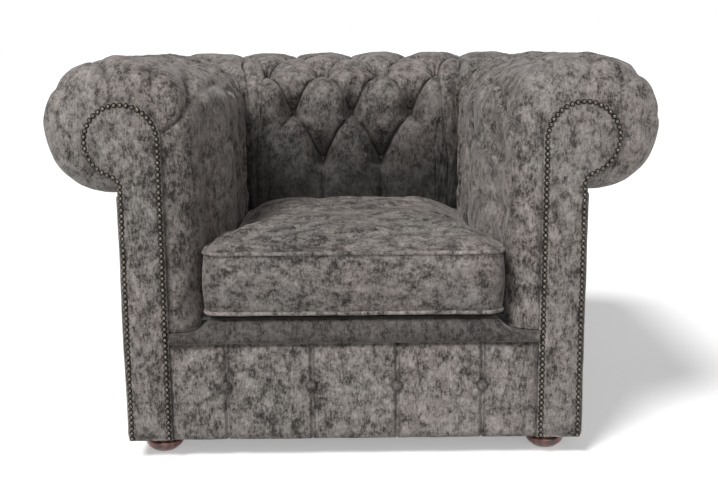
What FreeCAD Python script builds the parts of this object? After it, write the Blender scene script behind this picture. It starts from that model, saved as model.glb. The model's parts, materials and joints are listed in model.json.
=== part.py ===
import FreeCAD, Part
import math
import os

# Chesterfield armchair: rolled, deep-buttoned arms and back over a hardwood frame, scroll facings,
# a loose box cushion and four turned feet. Sizes are in millimetres. +Z is up, the front faces -Y,
# and left and right are the viewer's, looking at the front. The origin is on the floor, under the
# middle of the chair.

V = FreeCAD.Vector

# Driving sizes of the whole chair
half_width = 542.0
half_depth = 440.0
roll_radius = 118.0
roll_height = 598.0
facing_setback = 16.0
facing_thickness = 12.0
panel_bottom = 36.0
outer_panel_thickness = 9.0

# Hardwood frame
frame_bottom = 40.0
post_side = 40.0
rail_thickness = 28.0
side_rail_height = 112.0
front_rail_top = 214.0
tack_rail_height = 28.0
top_rail_height = 45.0
front_board_thickness = 18.0
corner_block_reach = 90.0
corner_block_height = 60.0
upright_width = 40.0
back_upright_spacing = 280.0

# Seat platform
webbing_thickness = 2.0
webbing_width = 60.0
seat_webs_across = 5
seat_webs_along = 6
deck_top = 272.0
deck_cloth_thickness = 2.0
lip_bulge = 7.0

# Tufted pads on the arms and the back
cover_thickness = 38.0
cover_edge_thickness = 10.0
row_pitch = 98.0
rows_on_wall = 6
button_rows = 4
button_pitch = 130.0
back_first_row = 5
arm_first_button = 284.0
pleat_depth = 10.0
button_depth = 18.0
mitre_depth = 8.0
front_rounding = 60.0
arm_reach_front = 152.0
arm_reach = 192.0
arm_narrowing_length = 110.0
back_reach = 225.0
shoulder_drop = 12.0
shoulder_fullness = 0.8
arm_straight_columns = 1.5
back_straight_columns = 1.4
steps_per_block = 3
outer_steps = 10
corner_steps = 3

# Scroll facings
facing_head_inset = 28.0
facing_head_drop = 23.0
facing_border = 50.0
facing_stands_out = 2.0
facing_neck_radius = 18.0
facing_overlap = 2.0
board_gap = 4.0

# Covered buttons
button_radius = 10.0
button_tail = 2.5
button_dome = 3.2
button_sunk = 1.6
button_sides = 8
border_button_spacing = 152.0
border_button_height = 136.0
border_buttons = 4

# Loose cushion
cushion_bottom = 272.3
cushion_border_bottom = 281.0
cushion_border_top = 398.0
cushion_crown = 17.0
cushion_front_gap = 10.0
cushion_corner = 26.0
cushion_back_corner = 60.0
cushion_clearance = 1.0
cushion_cloth = 2.5
cushion_waist = 5.0
piping_radius = 4.5
piping_sides = 6
zip_length = 400.0
zip_width = 26.0
zip_thickness = 1.2
zip_pull_length = 22.0
zip_pull_width = 9.0
zip_pull_thickness = 3.0
zip_gap = 0.3

# Turned feet
foot_side_inset = 52.0
foot_front_inset = 46.0
foot_back_inset = 71.0
foot_radius = 34.0
foot_neck_radius = 25.0
foot_base_radius = 24.0
foot_collar_height = 5.0
foot_collar_overhang = 3.0
foot_sides = 32
rod_sides = 12
foot_bore_bottom = 14.0
glide_height = 3.0
glide_radius = 13.0
bolt_radius = 4.0
bolt_clearance = 0.3
bolt_length = 70.0
dust_cover_thickness = 2.0
side_gap = 0.3

# Places worked out from the sizes above
roll_x = half_width - roll_radius
roll_y = half_depth - roll_radius
facing_front_y = facing_setback - half_depth
arm_first_button_y = facing_front_y + arm_first_button
facing_head_radius = roll_radius - facing_border
facing_head_x = roll_x - facing_head_inset
facing_head_z = roll_height - facing_head_drop
board_front_y = facing_front_y + facing_thickness
board_back_y = board_front_y + front_board_thickness
frame_plane = 60.0
foam_plane = frame_plane + webbing_thickness
roll_end = frame_plane - post_side
frame_x = roll_x - frame_plane
frame_y = roll_y - frame_plane
outer_x = roll_x - roll_end
outer_y = roll_y - roll_end
facing_outer_x = outer_x + facing_stands_out
side_rail_top = frame_bottom + side_rail_height
webbing_top = side_rail_top + webbing_thickness
foam_top = deck_top - deck_cloth_thickness
core_radius = roll_radius - cover_thickness
top_rail_top = roll_height - math.sqrt(core_radius ** 2 - roll_end ** 2)
panel_top = roll_height - roll_radius - side_gap
facing_inner_x = facing_head_x - facing_head_radius
front_width = 2 * (facing_inner_x - side_gap)
board_radius = facing_head_radius - facing_overlap - cover_edge_thickness - board_gap
piping_stands = 1.9 * piping_radius
cushion_front_half_width = roll_x - arm_reach_front - cushion_front_gap
cushion_front_y = piping_stands - half_depth
cushion_back_y = roll_y - back_reach - piping_stands - cushion_clearance
foot_x = outer_x - foot_side_inset
foot_front_y = board_front_y + foot_front_inset
foot_back_y = outer_y - foot_back_inset
wall_length = rows_on_wall * row_pitch
roll_length = outer_steps * row_pitch / steps_per_block
shoulder_z = roll_height - shoulder_drop

os.makedirs("parts", exist_ok=True)


def export(name, solids):
    """Write one node; a list of solids becomes a group."""
    shape = Part.makeCompound(solids) if isinstance(solids, list) else solids
    shape.exportStep("parts/" + name + ".step")


def mirrored(shape):
    return shape.mirror(V(0, 0, 0), V(1, 0, 0))


def export_pair(name, shape):
    """The shape is on the right, at +X; its mirror image is the left one."""
    if isinstance(shape, list):
        export(name + "_right", shape)
        export(name + "_left", [mirrored(s) for s in shape])
    else:
        export(name + "_right", shape)
        export(name + "_left", mirrored(shape))


def box(x0, x1, y0, y1, z0, z1):
    return Part.makeBox(x1 - x0, y1 - y0, z1 - z0, V(x0, y0, z0))


def smooth(x):
    x = min(max(x, 0.0), 1.0)
    return x * x * (3 - 2 * x)


def blend(a, b, share):
    return a + (b - a) * share


def dome(x):
    """0 on a pleat and 1 half way to the next, rising steeply from the pleat."""
    x = x - math.floor(x)
    return math.sqrt(max(4 * x * (1 - x), 0.0))


# Facets that close into one solid
def same(a, b):
    return a.distanceToPoint(b) < 1e-4


def triangles(a, b, c, d, rising):
    """The two triangles of a four-cornered facet, split along a-c when rising, else along b-d."""
    pairs = ((a, b, c), (a, c, d)) if rising else ((a, b, d), (b, c, d))
    return [t for t in pairs if not (same(t[0], t[1]) or same(t[1], t[2]) or same(t[0], t[2]))]


def sheet(rows, rising=lambda i, j: True):
    """Triangles between neighbouring rows of points."""
    found = []
    for i in range(len(rows) - 1):
        for j in range(len(rows[i]) - 1):
            corners = rows[i][j], rows[i + 1][j], rows[i + 1][j + 1], rows[i][j + 1]
            found += triangles(*corners, rising(i, j))
    return found


def polygon(points):
    kept = []
    for p in points:
        if not kept or not same(p, kept[-1]):
            kept.append(p)
    if same(kept[0], kept[-1]):
        kept.pop()
    return Part.Face(Part.makePolygon(kept + [kept[0]]))


def closed(facets, faces=()):
    """One solid from triangles and flat faces that meet edge to edge."""
    every = [Part.Face(Part.makePolygon([a, b, c, a])) for a, b, c in facets] + list(faces)
    shell = Part.makeShell(every)
    shell.sewShape()
    solid = Part.Solid(shell)
    if solid.Volume < 0:
        solid.reverse()
    return solid


def prism(points, depth):
    """A flat outline of points pushed through by the vector depth."""
    return polygon(points).extrude(depth)


def rod(radius, height, at):
    """A round rod or bore standing on the point at, in flat sides."""
    angles = [2 * math.pi * k / rod_sides for k in range(rod_sides)]
    return prism([at + V(radius * math.cos(a), radius * math.sin(a), 0) for a in angles], V(0, 0, height))


# Tufting: buttons on a lattice of diamonds, joined by diagonal pleats
def lattice_domes(along, down, limit):
    """Heights of the two sets of pillows between diagonal pleats. along runs with the roll, from a
    button of the first row, and down runs over the section from the crest. Above the first row and
    below the last one the pleats run straight. One set ends past the limit on each side."""
    row = min(max(down / row_pitch + 1, 1.0 - button_rows), 0.0)
    rising = along / button_pitch + row / 2
    falling = along / button_pitch - row / 2
    a = dome(rising) if rising > -limit - 0.5 else 1.0
    b = dome(falling) if falling < limit + 0.5 else 1.0
    return a, b


def tuft_depth(along, down, limit=100.0):
    """How far the cover lies below the pillows' tops."""
    a, b = lattice_domes(along, down, limit)
    row = down / row_pitch + 1
    past = max(row, 1 - button_rows - row, 0.0)
    button = button_depth * (1 - a) * (1 - b) * (1 - smooth(past))
    fade = 1 - smooth((down - 0.2 * roll_length) / (0.5 * roll_length))
    return (pleat_depth * (1 - a * b) + button) * fade


def arm_depth(y, down):
    """The arm's tufting: near the facing every row's first button sends one pleat forward."""
    along = y - arm_first_button_y
    depth = tuft_depth(along, down)
    half = button_pitch / 2
    if along < 0.0:
        row = dome(down / row_pitch)
        a, b = lattice_domes(along, down, 100.0)
        first = button_depth * (1 - a) * (1 - b) * smooth((along + button_pitch) / half)
        straight = pleat_depth * (1 - row * row) + first
        depth = blend(straight, depth, smooth((along + half) / half))
        crest = smooth((down + 0.8 * row_pitch) / (0.5 * row_pitch))
        depth = depth * (1 - crest)
    depth = depth * smooth((y - board_front_y) / front_rounding)
    return blend(mitre_depth, depth, smooth((roll_y - y) / half))


def back_depth(x, down):
    side = smooth((roll_x - abs(x)) / (0.5 * button_pitch))
    return blend(mitre_depth, tuft_depth(x, down, (back_first_row - 1) / 2), side)


# The rolled section: u is the distance from the roll's axis towards the seat, z the height
def shoulder_length(reach):
    """About the length of the shoulder's curve, from the crest to the top of the wall."""
    return 0.88 * reach + 0.74 * (roll_radius + shoulder_drop)


def section(down, reach, front, inset):
    """A point of the section, inset below the pillows' tops. front goes from 0 at the facing,
    where the section is the scroll's outline, to 1 where it is the full roll. The outer half is
    round, and the inner half is a full shoulder over an upright wall."""
    centre = blend(roll_x - facing_head_x, 0.0, front)
    height = blend(facing_head_z, roll_height, front)
    radius = blend(facing_head_radius - facing_overlap, roll_radius, front) - inset
    if down > 0:
        last = 2 * math.pi - math.acos((roll_end - centre) / radius)
        angle = blend(math.pi / 2, last, down / roll_length)
        return centre + radius * math.cos(angle), height + radius * math.sin(angle)
    scroll_u = roll_x - facing_inner_x - facing_overlap
    wide = blend(scroll_u, reach, front) - centre - inset
    middle = blend(facing_head_z, shoulder_z, front)
    high = height + radius - middle
    shoulder = shoulder_length(reach)
    if down <= -shoulder:
        share = (-shoulder - down) / (wall_length - shoulder)
        return centre + wide, blend(middle, deck_top, share)
    share = -down / shoulder
    even = blend(1.5 * share - 0.5 * share ** 2, 0.44 * share + 0.56 * share ** 2, front)
    turn = even * math.pi / 2
    power = blend(1.0, shoulder_fullness, front)
    return centre + wide * math.sin(turn) ** power, middle + high * math.cos(turn) ** power


def place_arm(y, turn, u, z):
    """A section's point at y along the right arm. Past the roll's end the outer half turns about
    the corner, and the inner half stops on the mitre."""
    mitre = roll_y - max(u, 0.0)
    narrowing = arm_first_button_y + arm_straight_columns * button_pitch
    if y > narrowing:
        y = blend(narrowing, mitre, (y - narrowing) / (roll_y - narrowing))
    if u >= 0.0:
        return V(roll_x - u, y, z)
    return V(roll_x - u * math.cos(turn), y - u * math.sin(turn), z)


def place_back(x, turn, u, z):
    side = 1 if x > 0 else -1
    mitre = roll_x - max(u, 0.0)
    narrowing = back_straight_columns * button_pitch
    if abs(x) > narrowing:
        x = side * blend(narrowing, mitre, (abs(x) - narrowing) / (roll_x - narrowing))
    if u >= 0.0:
        return V(x, roll_y - u, z)
    return V(x - side * u * math.sin(turn), roll_y - u * math.cos(turn), z)


def downs(step):
    """Places over the section, from the bottom of the wall to under the roll."""
    count = rows_on_wall * steps_per_block + outer_steps
    return [-wall_length + k * row_pitch / steps_per_block for k in range(0, count + 1, step)]


def arm_front(y):
    x = min((y - board_front_y) / front_rounding, 1.0)
    return math.sqrt(max(1 - (1 - x) ** 2, 0.0))


def arm_reach_at(y):
    """The arm's pad grows towards the seat behind the facing, and again into the back's corner."""
    past = (y - board_front_y - front_rounding) / arm_narrowing_length
    reach = blend(arm_reach_front, arm_reach, smooth(past))
    corner = arm_first_button_y + arm_straight_columns * button_pitch
    return blend(reach, back_reach, smooth((y - corner) / (roll_y - corner)))


def arm_inset(y):
    return blend(cover_edge_thickness, cover_thickness, arm_front(y))


def arm_stations():
    """Places along the arm, fine enough for its pillows: (y, turn) pairs."""
    step = button_pitch / 2 / steps_per_block
    front = [0.0, 0.15, front_board_thickness / front_rounding, 0.5, 0.75, 1.0]
    found = [board_front_y + f * front_rounding for f in front]
    first = math.ceil((found[-1] + 0.5 * step - arm_first_button_y) / step)
    last = math.floor((roll_y - 0.5 * step - arm_first_button_y) / step)
    found += [arm_first_button_y + k * step for k in range(first, last + 1)]
    return [(y, 0.0) for y in found]


def back_stations():
    step = button_pitch / 2 / steps_per_block
    last = math.floor((roll_x - 0.5 * step) / step)
    return [(k * step, 0.0) for k in range(-last, last + 1)]


def turns(end):
    """The stations that take the roll round half a corner, ending on the mitre."""
    return [(end, math.pi / 4 * k / corner_steps) for k in range(corner_steps + 1)]


def tops(stations, depth, place, reach_at, front_at, step=1):
    """The cover's outer surface: one row of points for each station."""
    rows = []
    for t, turn in stations:
        row = []
        for down in downs(step):
            u, z = section(down, reach_at(t), front_at(t), depth(t, down))
            row.append(place(t, turn, u, z))
        rows.append(row)
    return rows


def block_rising(stations, first):
    """Facets split along the pleat that crosses their block of the lattice."""
    heights = downs(1)

    def rising(i, j):
        across = math.floor(((stations[i][0] + stations[i + 1][0]) / 2 - first) / (button_pitch / 2))
        up = math.floor((heights[j] + heights[j + 1]) / 2 / row_pitch)
        return (across + up) % 2 == 0

    return rising


def coarse(stations, keep):
    return [s for k, s in enumerate(stations) if k in keep or s[1] > 0]


def cover_solid(outer, inner, rising):
    """The tufted cover with its wadding, between its outer rows and the foam's face."""
    facets = sheet(outer, rising) + sheet(inner)
    rims = [
        polygon(outer[0] + inner[0][::-1]),
        polygon(outer[-1] + inner[-1][::-1]),
        polygon([r[0] for r in outer] + [r[0] for r in inner][::-1]),
        polygon([r[-1] for r in outer] + [r[-1] for r in inner][::-1]),
    ]
    return closed(facets, rims)


def foam_solid(inner, stations, place):
    """The foam from the webbing out to the cover's inner face."""
    closing = []
    for (t, turn), row in zip(stations, inner):
        low = place(t, turn, foam_plane, deck_top)
        high = place(t, turn, foam_plane, row[-1].z)
        closing.append([row[0], low, high, row[-1]])
    ends = [polygon(inner[k] + closing[k][1:3][::-1]) for k in (0, -1)]
    return closed(sheet(inner) + sheet(closing), ends)


def arm_pads():
    straight = arm_stations()
    stations = straight + turns(roll_y)
    outer = tops(stations, arm_depth, place_arm, arm_reach_at, arm_front)
    last = len(straight)
    keep = {0, 2, 3, 5, last} | set(range(8, last, 3))
    sparse = coarse(stations, keep)
    inner = tops(sparse, lambda y, down: arm_inset(y), place_arm, arm_reach_at, arm_front, 2)
    cover = cover_solid(outer, inner, block_rising(stations, arm_first_button_y))
    behind = [k for k, s in enumerate(sparse) if s[0] > board_back_y - 0.1]
    foam = foam_solid([inner[k] for k in behind], [sparse[k] for k in behind], place_arm)
    return cover, foam


def back_pads():
    straight = back_stations()
    stations = turns(-roll_x)[::-1] + straight + turns(roll_x)
    reach = lambda x: back_reach
    full = lambda x: 1.0
    outer = tops(stations, back_depth, place_back, reach, full)
    last = len(stations)
    keep = {corner_steps, last - corner_steps - 1} | set(range(corner_steps + 3, last - 5, 4))
    sparse = coarse(stations, keep)
    inner = tops(sparse, lambda x, down: cover_thickness, place_back, reach, full, 2)
    cover = cover_solid(outer, inner, block_rising(stations, 0.0))
    return cover, foam_solid(inner, sparse, place_back)


def button(at, out):
    """A covered button facing along out: a drum with a domed front."""
    side = V(0, 0, 1).cross(out)
    side = side.normalize() if side.Length > 0.1 else V(1, 0, 0)
    up = out.cross(side)

    def ring(radius, lift):
        angles = [2 * math.pi * k / button_sides for k in range(button_sides)]
        points = [at + out * lift + side * (radius * math.cos(a)) + up * (radius * math.sin(a)) for a in angles]
        return points + [points[0]]

    rings = [ring(button_radius, -button_tail)]
    rings.append(ring(button_radius, 0.0))
    rings.append(ring(0.6 * button_radius, button_dome))
    return closed(sheet(rings), [polygon(rings[0]), polygon(rings[-1])])


def lattice(first, low, high, row):
    """Places along a row of buttons; every other row starts half a pitch on."""
    start = first + (0.0 if row % 2 else button_pitch / 2)
    k = math.ceil((low - start) / button_pitch)
    found = []
    while start + k * button_pitch <= high:
        found.append(start + k * button_pitch)
        k += 1
    return found


def seated_button(t, down, depth, place, reach, front):
    """A button at the bottom of its pit, facing out from the cover."""
    sunk = depth(t, down) - button_sunk
    high = place(t, 0.0, *section(down, reach, front, sunk - 10.0))
    low = place(t, 0.0, *section(down, reach, front, sunk))
    return button(low, (high - low).normalize())


def arm_buttons():
    found = []
    for row in range(1, button_rows + 1):
        low = arm_first_button_y - 0.5 * button_pitch - 1.0
        high = roll_y - (0.5 if row == 1 else 1.0) * button_pitch
        for y in lattice(arm_first_button_y, low, high, row):
            found.append(seated_button(y, -row * row_pitch, arm_depth, place_arm, arm_reach_at(y), 1.0))
    return found


def back_buttons():
    found = []
    for row in range(1, button_rows + 1):
        reach = (back_first_row - row) / 2 * button_pitch + 1.0
        for x in lattice(0.0, -reach, reach, row):
            found.append(seated_button(x, -row * row_pitch, back_depth, place_back, back_reach, 1.0))
    return found


# Scroll fronts
def scroll(head_radius, inner_x, outer_x, neck, bottom):
    """The scroll's outline: straight leg, hollow neck and round head, at y = 0."""
    cx = facing_head_x
    cz = facing_head_z
    dx = outer_x + neck - cx
    dz = math.sqrt((head_radius + neck) ** 2 - dx ** 2)
    neck_z = cz - dz
    share = head_radius / (head_radius + neck)
    join = V(cx + dx * share, 0, cz - dz * share)
    middle_angle = math.atan2(dz, -dx) / 2
    hollow = V(outer_x + neck - neck * math.cos(middle_angle), 0, neck_z + neck * math.sin(middle_angle))
    edges = [Part.LineSegment(V(inner_x, 0, bottom), V(outer_x, 0, bottom)).toShape()]
    edges.append(Part.LineSegment(V(outer_x, 0, bottom), V(outer_x, 0, neck_z)).toShape())
    edges.append(Part.Arc(V(outer_x, 0, neck_z), hollow, join).toShape())
    right = math.atan2(join.z - cz, join.x - cx)
    bend = (right + math.pi / 2) / 2
    top = V(cx, 0, cz + head_radius)
    edges.append(Part.Arc(join, V(cx + head_radius * math.cos(bend), 0, cz + head_radius * math.sin(bend)), top).toShape())
    corner = head_radius * math.sqrt(0.5)
    edges.append(Part.Arc(top, V(cx - corner, 0, cz + corner), V(inner_x, 0, cz)).toShape())
    edges.append(Part.LineSegment(V(inner_x, 0, cz), V(inner_x, 0, bottom)).toShape())
    return Part.Face(Part.Wire(edges))


def arm_facing():
    face = scroll(facing_head_radius, facing_inner_x, facing_outer_x, facing_neck_radius, panel_bottom)
    face.translate(V(0, facing_front_y, 0))
    return face.extrude(V(0, facing_thickness, 0))


def front_board():
    face = scroll(board_radius, facing_head_x - board_radius, outer_x, 2.0, frame_bottom)
    face.translate(V(0, board_front_y, 0))
    return face.extrude(V(0, front_board_thickness, 0))


# Frame
def post():
    return box(frame_x, outer_x, frame_y, outer_y, frame_bottom, top_rail_top)


def arm_rails():
    inner = outer_x - rail_thickness
    bottom = box(inner, outer_x, board_back_y, frame_y, frame_bottom, side_rail_top)
    tack_low = deck_top - tack_rail_height
    tack = box(frame_x, frame_x + rail_thickness, board_back_y, frame_y, tack_low, deck_top)
    top_low = top_rail_top - top_rail_height
    top = box(frame_x, outer_x, board_back_y, frame_y, top_low, top_rail_top)
    middle = (board_back_y + frame_y) / 2
    ends = middle - upright_width / 2, middle + upright_width / 2
    upright = box(frame_x, frame_x + rail_thickness, *ends, deck_top, top_low)
    return bottom, tack, top, upright


def back_rails():
    wide = frame_x
    deep = frame_y + rail_thickness
    bottom = box(-wide, wide, frame_y, deep, frame_bottom, side_rail_top - webbing_thickness)
    tack = box(-wide, wide, frame_y, deep, deck_top - tack_rail_height, deck_top)
    top_low = top_rail_top - top_rail_height
    top = box(-wide, wide, frame_y, outer_y, top_low, top_rail_top)
    uprights = []
    for side in (-1, 1):
        x = side * back_upright_spacing / 2
        ends = x - upright_width / 2, x + upright_width / 2
        uprights.append(box(*ends, frame_y, deep, deck_top, top_low))
    return bottom, tack, top, uprights


def front_rail():
    wide = facing_head_x - board_radius
    return box(-wide, wide, board_front_y, board_front_y + rail_thickness, frame_bottom, front_rail_top)


def corner_block(corner, inward, foot):
    """A triangular block glued into a corner of the rails, bored for the foot's bolt."""
    points = [corner, corner + V(0, inward * corner_block_reach, 0), corner - V(corner_block_reach, 0, 0)]
    block = prism(points, V(0, 0, corner_block_height))
    bore = rod(bolt_radius + bolt_clearance, corner_block_height, V(foot.x, foot.y, frame_bottom))
    return block.cut(bore)


def corner_blocks(feet):
    inner = outer_x - rail_thickness
    front = corner_block(V(inner, board_front_y + rail_thickness, frame_bottom), 1, feet[0])
    back = corner_block(V(inner, frame_y, frame_bottom), -1, feet[1])
    return [front, back, mirrored(front), mirrored(back)]


# Webbing
def arm_webbing():
    low = deck_top - tack_rail_height
    straps = []
    for k in range(4):
        y = blend(board_back_y, frame_y, (k + 0.5) / 4)
        ends = y - webbing_width / 2, y + webbing_width / 2
        straps.append(box(frame_x - webbing_thickness, frame_x, *ends, low, top_rail_top - 8.0))
    return straps


def back_webbing():
    low = deck_top - tack_rail_height
    straps = []
    for k in range(4):
        x = blend(-frame_x, frame_x, (k + 0.5) / 4)
        ends = x - webbing_width / 2, x + webbing_width / 2
        straps.append(box(*ends, frame_y - webbing_thickness, frame_y, low, top_rail_top - 8.0))
    return straps


def seat_webbing():
    front = board_front_y + rail_thickness
    wide = outer_x - rail_thickness
    low = side_rail_top - webbing_thickness
    straps = []
    for k in range(seat_webs_across):
        x = blend(-wide, wide, (k + 1) / (seat_webs_across + 1))
        ends = x - webbing_width / 2, x + webbing_width / 2
        straps.append(box(*ends, front, frame_y + 14.0, low, side_rail_top))
    for k in range(seat_webs_along):
        y = blend(front, frame_y, (k + 0.5) / seat_webs_along)
        ends = y - webbing_width / 2, y + webbing_width / 2
        straps.append(box(-wide - 14.0, wide + 14.0, *ends, side_rail_top, webbing_top))
    return straps


# Seat platform and front
def seat_lip():
    """The padded roll along the platform's front edge."""
    back = board_front_y + rail_thickness
    front = facing_front_y
    low = V(0, front, front_rail_top)
    bulge = V(0, front - lip_bulge, blend(front_rail_top, deck_top, 0.45))
    high = V(0, front + 6.0, deck_top)
    edges = [Part.Arc(low, bulge, high).toShape()]
    corners = [high, V(0, back, deck_top), V(0, back, front_rail_top), low]
    edges += [Part.LineSegment(corners[k], corners[k + 1]).toShape() for k in range(3)]
    face = Part.Face(Part.Wire(edges))
    face.translate(V(-front_width / 2, 0, 0))
    return face.extrude(V(front_width, 0, 0))


def border_places():
    middle = (border_buttons - 1) / 2
    return [(k - middle) * border_button_spacing for k in range(border_buttons)]


def border_depth(x, z):
    """The front panel's face draws in at its edges, its pleats and its buttons."""
    pleat = 0.0
    pit = 0.0
    for place in border_places():
        pleat = max(pleat, 1 - abs(x - place) / 22.0)
        pit = max(pit, 1 - math.hypot(x - place, z - border_button_height) / 30.0)
    edge = max(1 - (front_width / 2 - abs(x)) / 20.0, 1 - (front_rail_top - z) / 16.0, 1 - (z - panel_bottom) / 16.0)
    return 1.5 * max(pleat, 0.0) + 4.0 * max(pit, 0.0) ** 2 + 3.0 * max(edge, 0.0) ** 2


def front_border():
    half = front_width / 2
    across = sorted({-half, half, 16.0 - half, half - 16.0, 0.0})
    for place in border_places():
        across += [place - 38.0, place - 20.0, place, place + 20.0, place + 38.0]
    across = sorted(across)
    up = [panel_bottom, panel_bottom + 14.0, 90.0, 118.0, border_button_height, 154.0, 182.0]
    up += [front_rail_top - 12.0, front_rail_top]
    face = [[V(x, facing_front_y + border_depth(x, z), z) for z in up] for x in across]
    back = [[V(x, board_front_y, z) for z in (up[0], up[-1])] for x in (across[0], across[-1])]
    rims = [polygon([r[0] for r in face] + [r[0] for r in back][::-1])]
    rims.append(polygon([r[-1] for r in face] + [r[-1] for r in back][::-1]))
    rims.append(polygon(face[0] + back[0][::-1]))
    rims.append(polygon(face[-1] + back[-1][::-1]))
    return closed(sheet(face) + sheet(back), rims)


def border_button_set():
    out = V(0, -1, 0)
    front = facing_front_y + border_depth(border_places()[0], border_button_height)
    return [button(V(x, front - 1.0, border_button_height), out) for x in border_places()]


# Loose cushion: a plan outline that follows the arms, swept up in rings
def cushion_half_width(y):
    """Half the cushion's width: full in front of the arms, then just clear of them."""
    arm = roll_x - blend(roll_x - facing_inner_x, arm_reach_at(y), arm_front(max(y, board_front_y)))
    return min(cushion_front_half_width, arm - piping_stands - cushion_clearance)


def cushion_outline(inset):
    """Corner points of the plan, anticlockwise from the front left."""
    front = cushion_front_y + inset
    back = cushion_back_y - inset
    c = cushion_corner
    b = cushion_back_corner
    right = [(cushion_front_half_width - c - inset, front)]
    right.append((cushion_front_half_width - 0.3 * c - inset, front + 0.3 * c))
    reach_start = board_front_y + front_rounding
    reach_end = reach_start + arm_narrowing_length
    stations = [front + c] + [blend(reach_start, reach_end, k / 4) for k in range(5)]
    stations += [blend(reach_end, back, share) for share in (0.35, 0.7)] + [back - b]
    right += [(cushion_half_width(y) - inset, y) for y in stations]
    wide = cushion_half_width(back - b) - inset
    for angle in (math.pi / 6, math.pi / 3, math.pi / 2):
        right.append((wide - b + b * math.cos(angle), back - b + b * math.sin(angle)))
    across = [-0.66, -0.33, 0.0, 0.33, 0.66]
    bottom = [(s * (cushion_front_half_width - c - inset), front) for s in across]
    top = [(-s * (wide - b), back) for s in across]
    left = [(-x, y) for x, y in reversed(right)]
    return bottom + right + top + left


def cushion_ring(z, inset):
    points = [V(x, y, z) for x, y in cushion_outline(inset)]
    return points + [points[0]]


def crowned(z, crown, inset):
    """Rings from the outline in to the middle, rising by the crown."""
    middle_y = (cushion_front_y + cushion_back_y) / 2
    rings = []
    for share in (1.0, 0.93, 0.8, 0.6, 0.35):
        rise = crown * (1 - share ** 2.6)
        ring = [V(p.x * share, middle_y + (p.y - middle_y) * share, z + rise) for p in cushion_ring(z, inset)]
        rings.append(ring)
    tip = V(0, middle_y, z + crown)
    rings.append([tip] * len(rings[0]))
    return rings


def side_rings(inset):
    """The border between the pipings, drawn in at half its height."""
    heights = [cushion_border_bottom, blend(cushion_border_bottom, cushion_border_top, 0.5), cushion_border_top]
    waists = [0.0, cushion_waist, 0.0]
    return [cushion_ring(z, inset + w) for z, w in zip(heights, waists)]


def cushion_solids():
    """The foam core, the top, bottom and border cloth, fitted face to face."""
    cloth = cushion_cloth
    top_in = crowned(cushion_border_top, cushion_crown, cloth)
    top_out = crowned(cushion_border_top + cloth, cushion_crown, cloth)
    sides_in = side_rings(cloth)
    sides_out = side_rings(0.0)
    floor_in = sides_in[0]
    core = closed(sheet(sides_in) + sheet(top_in), [polygon(floor_in)])
    top = closed(sheet(top_in) + sheet(top_out) + sheet([top_in[0], top_out[0]]))
    under = cushion_ring(cushion_bottom, cloth + 22.0)
    bottom = closed(sheet([floor_in, under]), [polygon(floor_in), polygon(under)])
    border = sheet(sides_in) + sheet(sides_out)
    border += sheet([sides_in[0], sides_out[0]]) + sheet([sides_in[-1], sides_out[-1]])
    return core, top, bottom, closed(border)


def piping(z):
    """A cord of piping round the outline, standing proud of the border's edge."""
    outline = cushion_outline(0.0)
    count = len(outline)
    rings = []
    for k in range(count + 1):
        x, y = outline[k % count]
        before = outline[(k - 1) % count]
        after = outline[(k + 1) % count]
        out = V(after[1] - before[1], before[0] - after[0], 0).normalize()
        centre = V(x, y, z) + out * (piping_stands - piping_radius)
        angles = [2 * math.pi * (j + 0.5) / piping_sides for j in range(piping_sides + 1)]
        rings.append([centre + out * (piping_radius * math.cos(a)) + V(0, 0, piping_radius * math.sin(a)) for a in angles])
    return closed(sheet(rings))


def zip_face_y():
    """Where the tape lies: its long edges touch the drawn-in back of the border."""
    height = cushion_border_top - cushion_border_bottom
    return cushion_back_y - cushion_waist * (1 - zip_width / height)


def zip_tape():
    """The zip along the back of the border, across its drawn-in middle."""
    y = zip_face_y()
    z = blend(cushion_border_bottom, cushion_border_top, 0.5)
    half = zip_length / 2
    return box(-half, half, y, y + zip_thickness, z - zip_width / 2, z + zip_width / 2)


def zip_slider():
    """The pull, parked at the zip's right end."""
    y = zip_face_y() + zip_thickness + zip_gap
    z = blend(cushion_border_bottom, cushion_border_top, 0.5)
    right = zip_length / 2 - 6.0
    pull = box(right - zip_pull_length, right, y, y + zip_pull_thickness, z - zip_pull_width / 2, z + zip_pull_width / 2)
    eye = Part.makeCylinder(2.2, zip_pull_thickness, V(right - zip_pull_length + 6.0, y, z), V(0, 1, 0))
    return pull.cut(eye)


# Feet
def turned(profile):
    """A solid turned about the z axis from (radius, height) pairs, in flat sides."""
    angles = [2 * math.pi * k / foot_sides for k in range(foot_sides)]
    rings = []
    for radius, height in profile:
        ring = [V(radius * math.cos(a), radius * math.sin(a), height) for a in angles]
        rings.append(ring + [ring[0]])
    return closed(sheet(rings), [polygon(rings[0]), polygon(rings[-1])])


def foot(at):
    """A turned bun foot: small base, full belly and a collar under the frame."""
    top = frame_bottom - dust_cover_thickness
    collar = top - foot_collar_height
    profile = []
    for share in (0.0, 0.25, 0.5, 0.75, 1.0):
        bow = math.sin(math.pi * share)
        radius = blend(foot_base_radius, foot_neck_radius, share)
        profile.append((radius + (foot_radius - radius) * bow, blend(glide_height, collar, share)))
    profile += [(foot_neck_radius + foot_collar_overhang, height) for height in (collar, top)]
    body = turned(profile)
    hole = rod(bolt_radius + bolt_clearance, top, V(0, 0, foot_bore_bottom))
    body = body.cut(hole)
    body.translate(at)
    return body


def foot_bolt(at):
    return rod(bolt_radius, bolt_length, at + V(0, 0, foot_bore_bottom))


def foot_glide(at):
    return rod(glide_radius, glide_height, at)


def dust_cover(places):
    low = frame_bottom - dust_cover_thickness
    sheet_solid = box(-outer_x, outer_x, board_front_y, outer_y, low, frame_bottom)
    for at in places:
        hole = rod(bolt_radius + 1.0, 4 * dust_cover_thickness, at + V(0, 0, low - 2.0))
        sheet_solid = sheet_solid.cut(hole)
    return sheet_solid


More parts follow.
